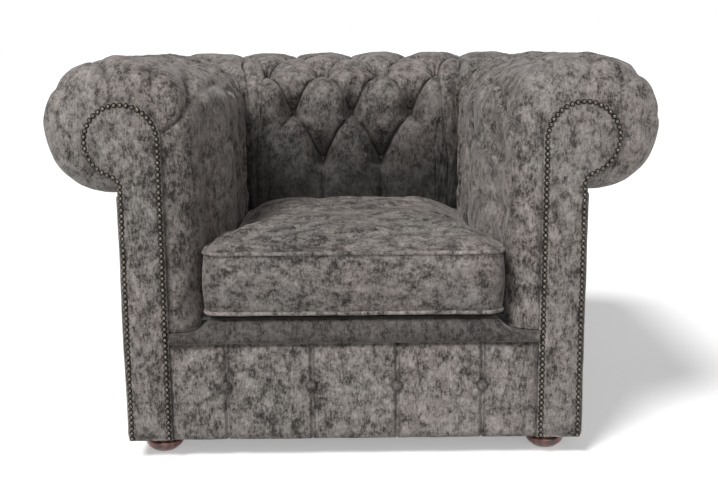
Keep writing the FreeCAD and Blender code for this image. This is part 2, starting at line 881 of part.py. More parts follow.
def build_pads():
    cover, foam = arm_pads()
    bottom, tack, top, upright = arm_rails()
    foam = foam.cut(top).cut(post())
    export_pair("arm_cover", cover)
    export_pair("arm_foam", foam)
    export_pair("arm_buttons", arm_buttons())
    cover, foam = back_pads()
    for piece in (back_rails()[2], post(), mirrored(post())):
        foam = foam.cut(piece)
    export("back_cover", cover)
    export("back_foam", foam)
    export("back_buttons", back_buttons())


def build_frame(feet):
    names = ["seat_rail", "arm_tack_rail", "arm_top_rail", "arm_upright"]
    for name, rail in zip(names, arm_rails()):
        export_pair(name, rail)
    bottom, tack, top, uprights = back_rails()
    export("seat_rail_back", bottom)
    export("back_tack_rail", tack)
    export("back_top_rail", top)
    export("back_uprights", uprights)
    export("seat_rail_front", front_rail())
    export_pair("rear_post", post())
    export_pair("arm_front_board", front_board())
    export("corner_blocks", corner_blocks(feet))
    export_pair("arm_webbing", arm_webbing())
    export("back_webbing", back_webbing())
    export("seat_webbing", seat_webbing())


def build_outside():
    panel = box(outer_x, outer_x + outer_panel_thickness, board_front_y, outer_y, panel_bottom, panel_top)
    export_pair("outside_arm_panel", panel)
    wide = outer_x + outer_panel_thickness
    export("outside_back_panel", box(-wide, wide, outer_y, outer_y + outer_panel_thickness, panel_bottom, panel_top))
    export_pair("arm_facing", arm_facing())
    export("front_border", front_border())
    export("border_buttons", border_button_set())
    export("seat_lip", seat_lip())


def build_platform():
    wide = frame_x - webbing_thickness
    ends = board_front_y + rail_thickness, frame_y - webbing_thickness
    export("seat_foam", box(-wide, wide, *ends, webbing_top, foam_top))
    export("seat_platform_cloth", box(-wide, wide, *ends, foam_top, deck_top))


def build_cushion():
    core, top, bottom, border = cushion_solids()
    export("cushion_core", core)
    export("cushion_top_panel", top)
    export("cushion_bottom_panel", bottom)
    export("cushion_border", border)
    export("cushion_piping_top", piping(cushion_border_top))
    export("cushion_piping_bottom", piping(cushion_border_bottom))
    export("cushion_zip", zip_tape())
    export("zip_slider", zip_slider())


def build_feet(feet):
    names = ["front_right", "rear_right", "front_left", "rear_left"]
    places = feet + [V(-p.x, p.y, 0) for p in feet]
    for name, at in zip(names, places):
        export("foot_" + name, foot(at))
    export("foot_bolts", [foot_bolt(at) for at in places])
    export("foot_glides", [foot_glide(at) for at in places])
    export("dust_cover", dust_cover(places))


right_feet = [V(foot_x, foot_front_y, 0), V(foot_x - 6.0, foot_back_y, 0)]
build_pads()
build_frame(right_feet)
build_outside()
build_platform()
build_cushion()
build_feet(right_feet)
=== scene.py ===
import bpy
import json
import math
import numpy as np
from mathutils import Euler, Matrix, Vector


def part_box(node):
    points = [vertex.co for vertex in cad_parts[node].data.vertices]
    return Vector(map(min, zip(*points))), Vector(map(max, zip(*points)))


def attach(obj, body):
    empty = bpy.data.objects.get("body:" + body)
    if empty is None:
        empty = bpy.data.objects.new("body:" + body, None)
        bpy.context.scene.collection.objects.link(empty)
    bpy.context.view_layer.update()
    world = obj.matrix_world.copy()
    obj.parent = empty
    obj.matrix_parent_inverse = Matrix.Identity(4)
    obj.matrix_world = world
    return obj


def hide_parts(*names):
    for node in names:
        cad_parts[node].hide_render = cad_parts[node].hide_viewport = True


# Chesterfield armchair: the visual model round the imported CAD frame. Metres. The front faces -Y.

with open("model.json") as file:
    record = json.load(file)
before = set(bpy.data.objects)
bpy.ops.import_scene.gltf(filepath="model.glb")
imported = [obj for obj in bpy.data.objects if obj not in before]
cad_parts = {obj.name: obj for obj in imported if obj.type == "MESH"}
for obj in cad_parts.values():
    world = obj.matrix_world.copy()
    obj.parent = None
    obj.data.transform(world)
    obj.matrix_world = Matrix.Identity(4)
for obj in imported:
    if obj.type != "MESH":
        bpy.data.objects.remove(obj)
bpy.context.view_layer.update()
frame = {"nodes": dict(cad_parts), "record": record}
nail_seed = 7
rng = np.random.default_rng(nail_seed)

# Sizes of the chair, read from the frame, and the small steps between its covers
arm_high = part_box("arm_cover_right")[1]
back_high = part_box("back_cover")[1]
panel_low, panel_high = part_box("outside_arm_panel_right")
facing_low, facing_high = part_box("arm_facing_right")
border_low, border_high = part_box("front_border")
lip_low, lip_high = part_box("seat_lip")
cushion_low, cushion_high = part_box("cushion_border")
top_panel_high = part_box("cushion_top_panel")[1]
under_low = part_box("cushion_bottom_panel")[0]

facing_lap = 0.002
cover_setback = 0.005
cover_inset = 0.002
roll_radius = (arm_high.z - panel_high.z) / 2
roll_x = arm_high.x - roll_radius
roll_y = back_high.y - roll_radius
roll_z = arm_high.z - roll_radius
deck_z = lip_high.z
panel_x = panel_low.x
head_radius = (facing_high.x - facing_low.x) / 2
head_x = facing_low.x + head_radius
head_z = facing_high.z - head_radius
facing_y = facing_low.y
leg_x = panel_x + facing_lap
front_y = facing_y + cover_setback
neck_radius = 0.018
neck_dx = leg_x + neck_radius - head_x
neck_dz = math.sqrt((head_radius + neck_radius) ** 2 - neck_dx ** 2)
neck_z = head_z - neck_dz

# Tufting, folds and covered buttons
button_pitch = 0.130
row_pitch = 0.098
rows_on_wall = 6
button_rows = 4
back_first_row = 5
arm_first_button_y = facing_y + 0.284
arm_straight_columns = 1.5
back_straight_columns = 1.4
pillow_depth = 0.0100
pillow_flatness = 1.35
pillow_skew = 1.25
crease_depth = 0.0085
crease_width = 0.0030
near_button_depth = 0.010
near_button_reach = 0.030
pit_depth = 0.036
pit_radius = 0.0175
pleat_bow = 0.13
mitre_depth = 0.008
arm_pillow_share = 1.5
front_rounding = 0.060
arm_reach_front = 0.152
arm_reach = 0.192
arm_narrowing = 0.110
back_reach = 0.225
shoulder_drop = 0.012
shoulder_fullness = 0.8
shoulder_z = roll_z - shoulder_drop
corner_y = arm_first_button_y + arm_straight_columns * button_pitch
roll_length = 10 * row_pitch / 3
wall_length = rows_on_wall * row_pitch
cell = 20
arm_sinks = 0.036
arm_sinks_over = 0.10
straight_pleat_depth = 0.0080
straight_pleat_width = 0.0035
straight_hollow_depth = 0.0045
straight_hollow_width = 0.016
gather_depth = 0.0030
gather_radius = 0.023
gather_spread = 0.013
fold_width = 0.0035
fold_reach = 0.014
pull_depth = 0.0050
pull_pitch = 0.032
cover_turn_in = 0.15
arm_cover_foot = 0.020
back_cover_foot = 0.012
button_radius = 0.0105
button_dome = 0.0045
button_lift = 0.004
button_sides = 20

# Decorative nails
nail_radius = 0.0049
nail_pitch = 0.0101
nail_height = 0.0034
nail_flange = 0.0009
nail_from_edge = 0.0012
nail_tilt = 0.05
nail_sides = 14
nail_rim_rings = 6


# Small helpers on numbers and arrays
wave_octaves = 3
waves_per_octave = 7
wave_total = 4.2


def smooth(x):
    x = np.clip(x, 0.0, 1.0)
    return x * x * (3 - 2 * x)


def blend(a, b, share):
    return a + (b - a) * share


def dome(x):
    """0 on a pleat and 1 half way to the next, rising steeply from the pleat."""
    x = x - np.floor(x)
    return np.sqrt(np.clip(4 * x * (1 - x), 0.0, None))


def waves(points, size, seed):
    """Smooth noise over an array of points, about -1 to 1, as a sum of turned sine waves."""
    random = np.random.default_rng(seed)
    total = np.zeros(len(points))
    for octave in range(wave_octaves):
        for _ in range(waves_per_octave):
            direction = random.normal(size=3)
            direction /= np.linalg.norm(direction)
            wave = 2 * math.pi / (size / 2 ** octave) * random.uniform(0.6, 1.4)
            total += np.sin(points @ direction * wave + random.uniform(0, 6.28)) / 2 ** octave
    return total / wave_total


# Mesh helpers
def grid_faces(rows, columns, rising=None, loop_rows=False, loop_columns=False):
    """Faces over a grid of points: quads, or triangles split along rising diagonals."""
    row_steps = np.arange(rows - (not loop_rows))
    column_steps = np.arange(columns - (not loop_columns))
    i, j = np.meshgrid(row_steps, column_steps, indexing="ij")
    i = i.ravel()
    j = j.ravel()
    next_i = (i + 1) % rows
    next_j = (j + 1) % columns
    a = i * columns + j
    b = next_i * columns + j
    c = next_i * columns + next_j
    d = i * columns + next_j
    if rising is None:
        return np.stack([a, b, c, d], 1).tolist()
    up = rising(i, j)
    first = np.where(up[:, None], np.stack([a, b, c], 1), np.stack([a, b, d], 1))
    second = np.where(up[:, None], np.stack([a, c, d], 1), np.stack([b, c, d], 1))
    return np.concatenate([first, second]).tolist()


def end_face(row, columns):
    """One face over a whole row of a looped grid."""
    return [row * columns + k for k in range(columns)]


def ringed(rings, capped=True, both=False):
    """A form through closed rings of points, capped over its last ring and, if asked, its first."""
    count = len(rings[0])
    faces = grid_faces(len(rings), count, loop_columns=True)
    if both:
        faces.append(end_face(0, count)[::-1])
    if capped:
        faces.append(end_face(len(rings) - 1, count))
    return np.concatenate(rings), faces


def edge_loop(rows, columns):
    """The grid's outer points in order round its edge."""
    loop = [i * columns for i in range(rows)]
    loop += [(rows - 1) * columns + j for j in range(1, columns)]
    loop += [i * columns + columns - 1 for i in range(rows - 2, -1, -1)]
    return loop + list(range(columns - 2, 0, -1))


def slab(one, other):
    """A thin closed piece between two equal grids of points."""
    rows, columns = one.shape[:2]
    count = rows * columns
    side = grid_faces(rows, columns)
    loop = edge_loop(rows, columns)
    after = loop[1:] + loop[:1]
    faces = [face[::-1] for face in side] + [[k + count for k in face] for face in side]
    faces += [[a, b, b + count, a + count] for a, b in zip(loop, after)]
    return np.concatenate([one.reshape(-1, 3), other.reshape(-1, 3)]), faces


def flat_grid(x, y):
    """Coordinates over a flat rectangle, their distance from its edge, and their points."""
    gx, gy = np.meshgrid(x, y, indexing="ij")
    edge_x = np.minimum(gx - x[0], x[-1] - gx)
    edge_y = np.minimum(gy - y[0], y[-1] - gy)
    return gx, gy, np.minimum(edge_x, edge_y), np.stack([gx.ravel(), gy.ravel(), 0 * gx.ravel()], 1)


def pressed_to(axis, place):
    """A skirt that runs straight to a place on one axis."""
    def move(edge):
        inner = edge.copy()
        inner[:, axis] = place
        return inner
    return move


def new_mesh(name, points, faces, material, flip=False):
    mesh = bpy.data.meshes.new(name)
    if flip:
        faces = [f[::-1] for f in faces]
    mesh.from_pydata(np.asarray(points, float).tolist(), [], faces)
    mesh.validate()
    mesh.update()
    mesh.polygons.foreach_set("use_smooth", np.ones(len(mesh.polygons), bool))
    piece = bpy.data.objects.new(name, mesh)
    bpy.context.scene.collection.objects.link(piece)
    mesh.materials.append(material)
    return piece


def mirror_points(points):
    mirrored = np.array(points, float)
    mirrored[..., 0] *= -1
    return mirrored


def finish_piece(piece, body, replaced=()):
    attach(piece, body)
    if replaced:
        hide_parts(*replaced)


# Materials
class Shader:
    """A node material, with short calls for the nodes that the finishes here share."""

    def __init__(self, name):
        self.material = bpy.data.materials.new(name)
        self.material.use_nodes = True
        self.tree = self.material.node_tree
        self.bsdf = self.tree.nodes["Principled BSDF"]
        self.coordinates = self.tree.nodes.new("ShaderNodeTexCoord").outputs["Object"]

    def link(self, source, target):
        self.tree.links.new(source, target)

    def node(self, kind, **values):
        made = self.tree.nodes.new(kind)
        for key, value in values.items():
            setattr(made, key, value)
        return made

    def scaled(self, scale=(1, 1, 1)):
        made = self.node("ShaderNodeMapping")
        made.inputs["Scale"].default_value = scale
        self.link(self.coordinates, made.inputs["Vector"])
        return made.outputs["Vector"]

    def noise(self, vector, scale, detail, roughness=0.55, distortion=0.0):
        made = self.node("ShaderNodeTexNoise")
        made.inputs["Scale"].default_value = scale
        made.inputs["Detail"].default_value = detail
        made.inputs["Roughness"].default_value = roughness
        made.inputs["Distortion"].default_value = distortion
        self.link(vector, made.inputs["Vector"])
        return made.outputs["Fac"]

    def math(self, operation, a, b):
        made = self.node("ShaderNodeMath", operation=operation)
        for socket, value in zip(made.inputs, (a, b)):
            if isinstance(value, (int, float)):
                socket.default_value = value
            else:
                self.link(value, socket)
        return made.outputs[0]

    def weighted(self, parts):
        total = None
        for source, weight in parts:
            term = self.math("MULTIPLY", source, weight)
            total = term if total is None else self.math("ADD", total, term)
        return total

    def ramp(self, source, stops):
        made = self.node("ShaderNodeValToRGB")
        elements = made.color_ramp.elements
        while len(elements) < len(stops):
            elements.new(0.5)
        for element, (place, colour) in zip(elements, stops):
            element.position = place
            element.color = (*colour, 1.0)
        self.link(source, made.inputs["Fac"])
        return made.outputs["Color"]

    def multiplied(self, a, b):
        made = self.node("ShaderNodeMix", data_type="RGBA", blend_type="MULTIPLY")
        made.inputs[0].default_value = 1.0
        self.link(a, made.inputs[6])
        self.link(b, made.inputs[7])
        return made.outputs[2]

    def bump(self, height, strength, distance):
        made = self.node("ShaderNodeBump")
        made.inputs["Strength"].default_value = strength
        made.inputs["Distance"].default_value = distance
        self.link(height, made.inputs["Height"])
        self.link(made.outputs["Normal"], self.bsdf.inputs["Normal"])

    def set(self, **values):
        names = {
            "metallic": "Metallic", "roughness": "Roughness", "sheen": "Sheen Weight", "coat": "Coat Weight",
            "sheen_roughness": "Sheen Roughness", "coat_roughness": "Coat Roughness",
            "specular": "Specular IOR Level",
        }
        for key, value in values.items():
            self.bsdf.inputs[names[key]].default_value = value


# The velvet's tones from its darkest flecks to its brushed tops, the painted shade that hollows
# keep, and the slow drift between a cooler and a warmer tone
velvet_tones = (
    (0.415, (0.012, 0.010, 0.009)),
    (0.452, (0.036, 0.031, 0.028)),
    (0.482, (0.118, 0.105, 0.097)),
    (0.525, (0.215, 0.195, 0.184)),
    (0.610, (0.370, 0.344, 0.328)),
)
painted_hollow_shade = (0.30, 0.28, 0.27)
tone_drift = ((0.38, (0.97, 0.99, 0.98)), (0.62, (1.03, 0.99, 0.98)))
white = (1, 1, 1)


def crushed_velvet(name, level, stretch=(1.0, 1.0, 0.78), streak=(1.0, 1.0, 0.22), painted_shade_by_height=None):
    """Grey-taupe crushed pile: torn-edged light and dark patches in a fine brushed streak. The colour
    darkens by painted shade in hollows and, with a (low z, high z, share) gradient given, by painted
    shade that deepens to that share at the low z. Both are shade painted into the cloth's colour and
    stay the same under any light."""
    s = Shader(name)
    patches = s.noise(s.scaled(stretch), 44.0, 10.0, 0.80, 0.2)
    mottling = s.noise(s.scaled(stretch), 150.0, 6.0, 0.80)
    streaks = s.noise(s.scaled(streak), 380.0, 3.0, 0.65)
    drift = s.noise(s.scaled(stretch), 6.0, 2.0, 0.5)
    value = s.weighted([(patches, 0.48), (mottling, 0.28), (streaks, 0.16), (drift, 0.08)])
    stops = [(place, tuple(part * level for part in colour)) for place, colour in velvet_tones]
    colour = s.ramp(value, stops)
    tone = s.ramp(s.noise(s.scaled(), 5.0, 3.0, 0.6), tone_drift)
    colour = s.multiplied(colour, tone)
    # Painted shade: the cover's colour darkens in hollows and creases, found by their pointiness.
    hollow_shade_mask = s.node("ShaderNodeNewGeometry").outputs["Pointiness"]
    colour = s.multiplied(colour, s.ramp(hollow_shade_mask, [(0.455, painted_hollow_shade), (0.50, white)]))
    # Painted shade: the colour darkens towards the low z, as shade deepens down the piece.
    if painted_shade_by_height:
        low_z, high_z, share = painted_shade_by_height
        split = s.node("ShaderNodeSeparateXYZ")
        s.link(s.coordinates, split.inputs[0])
        height = s.math("DIVIDE", s.math("SUBTRACT", split.outputs["Z"], low_z), high_z - low_z)
        colour = s.multiplied(colour, s.ramp(height, [(0.0, (share, share, share)), (1.0, white)]))
    s.link(colour, s.bsdf.inputs["Base Color"])
    s.set(roughness=0.7, sheen=0.25, sheen_roughness=0.4, specular=0.3)
    s.bsdf.inputs["Sheen Tint"].default_value = (0.85, 0.80, 0.77, 1.0)
    pile = s.noise(s.scaled(), 900.0, 2.0, 0.5)
    s.bump(s.weighted([(patches, 0.8), (mottling, 0.6), (streaks, 0.5), (pile, 0.2)]), 0.5, 0.002)
    return s.material


def polished_wood(name, dark, light, roughness, coat):
    """Turned or planed wood with its grain along z."""
    s = Shader(name)
    rings = s.node("ShaderNodeTexWave", wave_type="RINGS", rings_direction="Z")
    rings.inputs["Scale"].default_value = 24.0
    rings.inputs["Distortion"].default_value = 5.0
    rings.inputs["Detail"].default_value = 3.0
    s.link(s.scaled((1, 1, 0.12)), rings.inputs["Vector"])
    pores = s.noise(s.scaled((1, 1, 0.08)), 320.0, 3.0)
    value = s.weighted([(rings.outputs["Fac"], 0.55), (pores, 0.45)])
    s.link(s.ramp(value, [(0.2, dark), (0.75, light)]), s.bsdf.inputs["Base Color"])
    s.set(roughness=roughness, coat=coat, coat_roughness=0.18)
    s.bump(pores, 0.12, 0.0004)
    return s.material


def cloth_weave(name, dark, light, size):
    """A plain woven cloth, such as webbing or a dust cover."""
    s = Shader(name)
    bands = []
    for axis in ("X", "Y"):
        wave = s.node("ShaderNodeTexWave", wave_type="BANDS", bands_direction=axis)
        wave.inputs["Scale"].default_value = 0.16 / size
        wave.inputs["Distortion"].default_value = 0.6
        s.link(s.coordinates, wave.inputs["Vector"])
        bands.append(wave.outputs["Fac"])
    woven = s.math("MULTIPLY", *bands)
    fibres = s.noise(s.scaled(), 500.0, 3.0)
    value = s.weighted([(woven, 0.6), (fibres, 0.4)])
    s.link(s.ramp(value, [(0.2, dark), (0.7, light)]), s.bsdf.inputs["Base Color"])
    s.set(roughness=0.9, sheen=0.15)
    s.bump(woven, 0.3, 0.0005)
    return s.material


def mottled(name, dark, light, scale, roughness, metallic=0.0):
    """A plain finish with a little variation of tone."""
    s = Shader(name)
    value = s.noise(s.scaled(), scale, 5.0, 0.6)
    s.link(s.ramp(value, [(0.35, dark), (0.65, light)]), s.bsdf.inputs["Base Color"])
    s.set(roughness=roughness, metallic=metallic)
    s.bump(value, 0.1, 0.0006)
    return s.material


velvet = crushed_velvet("crushed_velvet", 0.92)
# Painted shade: the back's velvet is a darker copy of the cloth, darker still towards its bottom.
back_velvet_painted_shade = crushed_velvet("back_velvet_painted_shade", 0.90, painted_shade_by_height=(0.44, 0.69, 0.18))
# Painted shade: the left arm's inner cover has a copy of the cloth that darkens towards its foot.
arm_velvet_left_painted_shade = crushed_velvet("arm_velvet_left_painted_shade", 0.92, painted_shade_by_height=(0.26, 0.62, 0.75))
# Painted shade: the lip under the cushion has a much darker copy of the cloth.
lip_velvet_painted_shade = crushed_velvet("lip_velvet_painted_shade", 0.42)
# Painted shade: the cushion's cloth darkens towards its underside.
cushion_velvet_painted_shade = crushed_velvet("cushion_velvet_painted_shade", 0.90, (0.75, 1.0, 1.0), (0.7, 0.7, 0.3), (0.27, 0.40, 0.72))
piping_velvet = crushed_velvet("piping_velvet", 0.95)
# Painted shade: the covered buttons have a darker copy of the cloth, as if deep in their pits.
button_velvet_painted_shade = crushed_velvet("button_velvet_painted_shade", 0.55)
mahogany = polished_wood("mahogany", (0.030, 0.006, 0.004), (0.165, 0.040, 0.022), 0.32, 0.6)
hardwood = polished_wood("hardwood", (0.28, 0.17, 0.09), (0.52, 0.36, 0.21), 0.7, 0.0)
plywood = polished_wood("plywood", (0.42, 0.29, 0.17), (0.60, 0.45, 0.29), 0.75, 0.0)
foam = mottled("foam", (0.62, 0.56, 0.36), (0.74, 0.69, 0.48), 60.0, 0.95)
webbing = cloth_weave("webbing", (0.03, 0.03, 0.03), (0.16, 0.13, 0.10), 0.004)
lining = cloth_weave("lining", (0.004, 0.004, 0.004), (0.022, 0.022, 0.023), 0.002)
# Painted shade and highlight on the nails: a near-black rim round each head stands in for its shadow ring,
# and the brass top, lighter than the rim, is partly wear and partly painted highlight.
brass = mottled("antique_brass", (0.05, 0.042, 0.034), (0.25, 0.215, 0.17), 420.0, 0.22, 1.0)
nail_rim_painted_shade = mottled("nail_rim_painted_shade", (0.006, 0.005, 0.005), (0.02, 0.017, 0.015), 300.0, 0.6, 0.6)
steel = mottled("steel", (0.42, 0.42, 0.42), (0.62, 0.62, 0.62), 200.0, 0.35, 1.0)
zip_metal = mottled("zip_metal", (0.35, 0.33, 0.29), (0.58, 0.55, 0.48), 300.0, 0.3, 1.0)
zip_tape = cloth_weave("zip_tape", (0.05, 0.045, 0.043), (0.13, 0.12, 0.115), 0.0015)
nylon = mottled("glide_nylon", (0.05, 0.05, 0.05), (0.09, 0.09, 0.09), 150.0, 0.5)

slot_materials = {
    "hardwood": hardwood, "plywood": plywood, "mahogany": mahogany, "foam": foam, "webbing": webbing,
    "lining": lining, "steel": steel, "zip_metal": zip_metal, "zip_tape": zip_tape, "glide_nylon": nylon,
    "upholstery": velvet, "piping": piping_velvet, "button_fabric": button_velvet_painted_shade,
}
for subpart in frame["record"]["subparts"]:
    node = frame["nodes"][subpart["node"]]
    node.data.materials.clear()
    node.data.materials.append(slot_materials[subpart["material_slot"]])


# Tufting: how far the cover lies below the pillows' tops
def lattice_lines(along, down):
    """Places between the rising and the falling pleats, whole numbers on a pleat. along runs with
    the roll, from a button of the first row, and down runs over the section from the crest."""
    row = np.clip(down / row_pitch + 1, 1 - button_rows, 0)
    return along / button_pitch + row / 2, along / button_pitch - row / 2


def nearest_button(along, down):
    """Offsets from the nearest place of the lattice, and whether its row has buttons."""
    row = down / row_pitch + 1
    near = np.round(row)
    shift = np.where(np.mod(near, 2) == 0, 0.0, 0.5)
    k = np.round(along / button_pitch - shift)
    counted = (near <= 0) & (near >= 1 - button_rows)
    return along - (k + shift) * button_pitch, (row - near) * row_pitch, counted, k + shift, near


def pit(dx, dy):
    """A button's pit, which slopes gently above the button and steeply below it."""
    reach = np.hypot(dx, dy * np.where(dy > 0, 0.60, 1.45))
    return pit_depth * np.exp(-(reach / pit_radius) ** 2)


def off_line(place):
    """Distance from the nearest pleat in metres."""
    slope = row_pitch / math.hypot(row_pitch, button_pitch / 2)
    return np.abs(place - np.round(place)) * button_pitch * slope


def lattice_depth(along, down, limit=99.0):
    """Scales between crossing diagonal pleats, each steep at its upper edges and easy at its lower
    ones. One set of pleats ends past the limit on each side, and past the rows they run straight."""
    s, r = lattice_lines(along, down)
    a = dome((s - np.floor(s)) ** pillow_skew)
    b = dome((1 - (r - np.floor(r))) ** pillow_skew)
    left = s < -limit - 0.5
    right = r > limit + 0.5
    a = np.where(left, 1.0, a)
    b = np.where(right, 1.0, b)
    line = np.minimum(np.where(left, 1.0, off_line(s)), np.where(right, 1.0, off_line(r)))
    dx, dy, counted, _, _ = nearest_button(along, down)
    near = np.where(counted, np.exp(-np.hypot(dx, dy) / near_button_reach), 0.0)
    full = 1 - a * b
    depth = pillow_depth * full ** pillow_flatness + near_button_depth * near * full
    return depth + crease_depth * (0.55 + 0.45 * near) * np.exp(-line / crease_width)


def buttoned(along, down, limit=99.0):
    """The pits of all buttons within the limit."""
    dx, dy, counted, column, row = nearest_button(along, down)
    inside = np.abs(column) <= limit + row / 2 + 0.01
    return np.where(counted & inside, pit(dx, dy), 0.0)


def above_fade(down):
    """The straight pleats over the crest thin out down the roll's outer half."""
    mostly = smooth((down + 0.2 * row_pitch) / (0.9 * row_pitch))
    wholly = smooth((down - 0.06) / 0.1)
    return 1 - 0.85 * mostly - 0.15 * wholly


def arm_depth(y, down):
    """The arm's tufting: in front of the buttons each row sends one thin pleat to the facing."""
    along = y - arm_first_button_y
    half = button_pitch / 2
    depth = arm_pillow_share * lattice_depth(along, down) * above_fade(down)
    row = down / row_pitch
    off_row = np.abs(row - np.round(row)) * row_pitch
    forward = np.exp(-np.maximum(-half - along, 0.0) / np.where(row > -1.5, 0.30, 0.08))
    soft = straight_hollow_depth * np.exp(-off_row / straight_hollow_width)
    soft = soft + straight_pleat_depth * np.exp(-off_row / straight_pleat_width)
    straight = soft * forward * np.where((row < -0.6) & (row > -button_rows - 0.5), 1.0, 0.0)
    depth = blend(straight, depth, smooth((along + half) / (0.9 * half)))
    crest = smooth((down + 0.8 * row_pitch) / (0.5 * row_pitch)) * smooth(-along / half)
    depth = depth * (1 - crest)
    depth = depth + np.where(along > -1.5 * half, buttoned(along, down), 0.0)
    depth = depth * smooth((y - front_y) / 0.02)
    return blend(mitre_depth, depth, smooth((roll_y - y) / half))


def back_depth(x, down):
    limit = (back_first_row - 1) / 2
    side = smooth((roll_x - np.abs(x)) / (0.5 * button_pitch))
    row = np.clip(down / row_pitch + 1, 1 - button_rows, 0)
    beyond = smooth((np.abs(x) / button_pitch - (limit + row / 2) - 0.1) / 0.35)
    beyond = beyond * smooth((-row - 0.7) / 0.5)
    pleats = lattice_depth(x, down, limit) * above_fade(down) * (1 - 0.85 * beyond)
    return blend(mitre_depth, pleats + buttoned(x, down, limit), side)


def bowed(down):
    """Moves the middle of each row of pleats up, so that the pillows' tops are arches."""
    inside = (down < -row_pitch) & (down > -button_rows * row_pitch)
    return down + np.where(inside, pleat_bow * row_pitch * np.sin(math.pi * down / row_pitch) ** 2, 0.0)


def shoulder_length(reach):
    """About the length of the shoulder's curve, from the crest to the top of the wall."""
    return 0.88 * reach + 0.74 * (roll_radius + shoulder_drop)


def section(down, reach, front, inset):
    """The rolled section: u from the roll's axis towards the seat, and z. The outer half is round,
    and the inner half is a full shoulder over an upright wall."""
    centre = blend(roll_x - head_x, 0.0, front)
    height = blend(head_z, roll_z, front)
    radius = blend(head_radius - cover_inset, roll_radius, front) - inset
    roll_end = roll_x - panel_x
    last = 2 * math.pi - np.arccos(np.clip((roll_end - centre) / radius, -1, 1))
    angle = blend(math.pi / 2, last, np.maximum(down, 0) / roll_length)
    outer_u = centre + radius * np.cos(angle)
    outer_z = height + radius * np.sin(angle)
    scroll_u = roll_x - facing_low.x - cover_inset
    wide = blend(scroll_u, reach, front) - centre - inset
    middle = blend(head_z, shoulder_z, front)
    high = height + radius - middle
    shoulder = shoulder_length(reach)
    share = np.clip(-down / shoulder, 0, 1)
    even = blend(1.5 * share - 0.5 * share ** 2, 0.44 * share + 0.56 * share ** 2, front)
    turn = even * math.pi / 2
    power = blend(1.0, shoulder_fullness, front)
    round_u = centre + wide * np.sin(turn) ** power
    round_z = middle + high * np.maximum(np.cos(turn), 0) ** power
    wall_share = (-shoulder - down) / (wall_length - shoulder)
    on_wall = down <= -shoulder
    inner_z = np.where(on_wall, blend(middle, deck_z, wall_share), round_z)
    inner_u = np.where(on_wall, centre + wide, round_u)
    return np.where(down > 0, outer_u, inner_u), np.where(down > 0, outer_z, inner_z)


def place_arm(y, turn, u, z):
    """A section's points on the right arm: mitred towards the back, turned round the outer corner,
    and sunk at the front where the cover meets the lip."""
    mitre = roll_y - np.maximum(u, 0.0)
    y = np.where(y > corner_y, blend(corner_y, mitre, (y - corner_y) / (roll_y - corner_y)), y)
    inner = u >= 0
    front = 1 - smooth((y - front_y - 0.05) / 0.10)
    sunk = arm_sinks * front * smooth((deck_z + arm_sinks_over - z) / arm_sinks_over)
    z = np.where(inner, z - sunk, z)
    x = np.where(inner, roll_x - u, roll_x - u * np.cos(turn))
    y = np.where(inner, y, y - u * np.sin(turn))
    return np.stack([x, y, z], -1)


def place_back(x, turn, u, z):
    """A section's points on the back, mitred towards both arms."""
    side = np.where(x > 0, 1.0, -1.0)
    mitre = roll_x - np.maximum(u, 0.0) * arm_reach / back_reach
    reach = back_straight_columns * button_pitch
    wide = np.abs(x) > reach
    x = np.where(wide, side * blend(reach, mitre, (np.abs(x) - reach) / (roll_x - reach)), x)
    inner = u >= 0
    y = np.where(inner, roll_y - u, roll_y - u * np.cos(turn))
    x = np.where(inner, x, x - side * u * np.sin(turn))
    return np.stack([x, y, z], -1)


def arm_front(y):
    x = np.clip((y - front_y) / front_rounding, 0.0, 1.0)
    return np.sqrt(1 - (1 - x) ** 2)


def arm_reach_at(y):
    return blend(arm_reach_front, arm_reach, smooth((y - front_y - front_rounding) / arm_narrowing))


def downs():
    step = row_pitch / cell
    low = round(wall_length / step)
    high = round(roll_length / step)
    return np.arange(-low, high + 1) * step


def tufted_sheet(stations, turns, first, depth, place, reach_at, front_at, relief):
    """Points and faces of a tufted cover over its stations and its section."""
    heights = downs()
    t, down = np.meshgrid(stations, heights, indexing="ij")
    turn = np.repeat(np.asarray(turns)[:, None], len(heights), 1)
    inset = depth(t, down) + relief(t, down)
    u, z = section(bowed(down), reach_at(t), front_at(t), inset)
    points = place(t, turn, u, z)

    def rising(i, j):
        across = np.floor(((stations[i] + stations[i + 1]) / 2 - first) / (button_pitch / 2))
        up = np.floor((heights[j] + heights[j + 1]) / 2 / row_pitch) + 1
        return (across + up) % 2 == 0

    return points, grid_faces(len(stations), len(heights), rising)


def skirted(points, faces, place_skirt):
    """Adds a turned-in edge round a grid of points, so that the cover has thickness there."""
    flat = points.reshape(-1, 3)
    edge = edge_loop(*points.shape[:2])
    inner = place_skirt(flat[edge])
    count = len(edge)
    start = len(flat)
    more = [[edge[k], edge[(k + 1) % count], start + (k + 1) % count, start + k] for k in range(count)]
    return np.concatenate([flat, inner]), faces + more


def pucker(along, down, limit=99.0):
    """Short gathers that fan up from every button."""
    dx, dy, counted, column, row = nearest_button(along, down)
    radius = np.hypot(dx, dy)
    angle = np.arctan2(dy, dx)
    phase = column * 2.3 + row * 1.7
    gathers = np.cos(angle * 11 + phase) + 0.6 * np.cos(angle * 17 - 1.3 * phase)
    fan = np.exp(-((radius - gather_radius) / gather_spread) ** 2) * smooth(dy / 0.01 + 0.3)
    inside = np.abs(column) <= limit + row / 2 + 0.01
    return np.where(counted & inside, gather_depth * gathers * fan, 0.0)


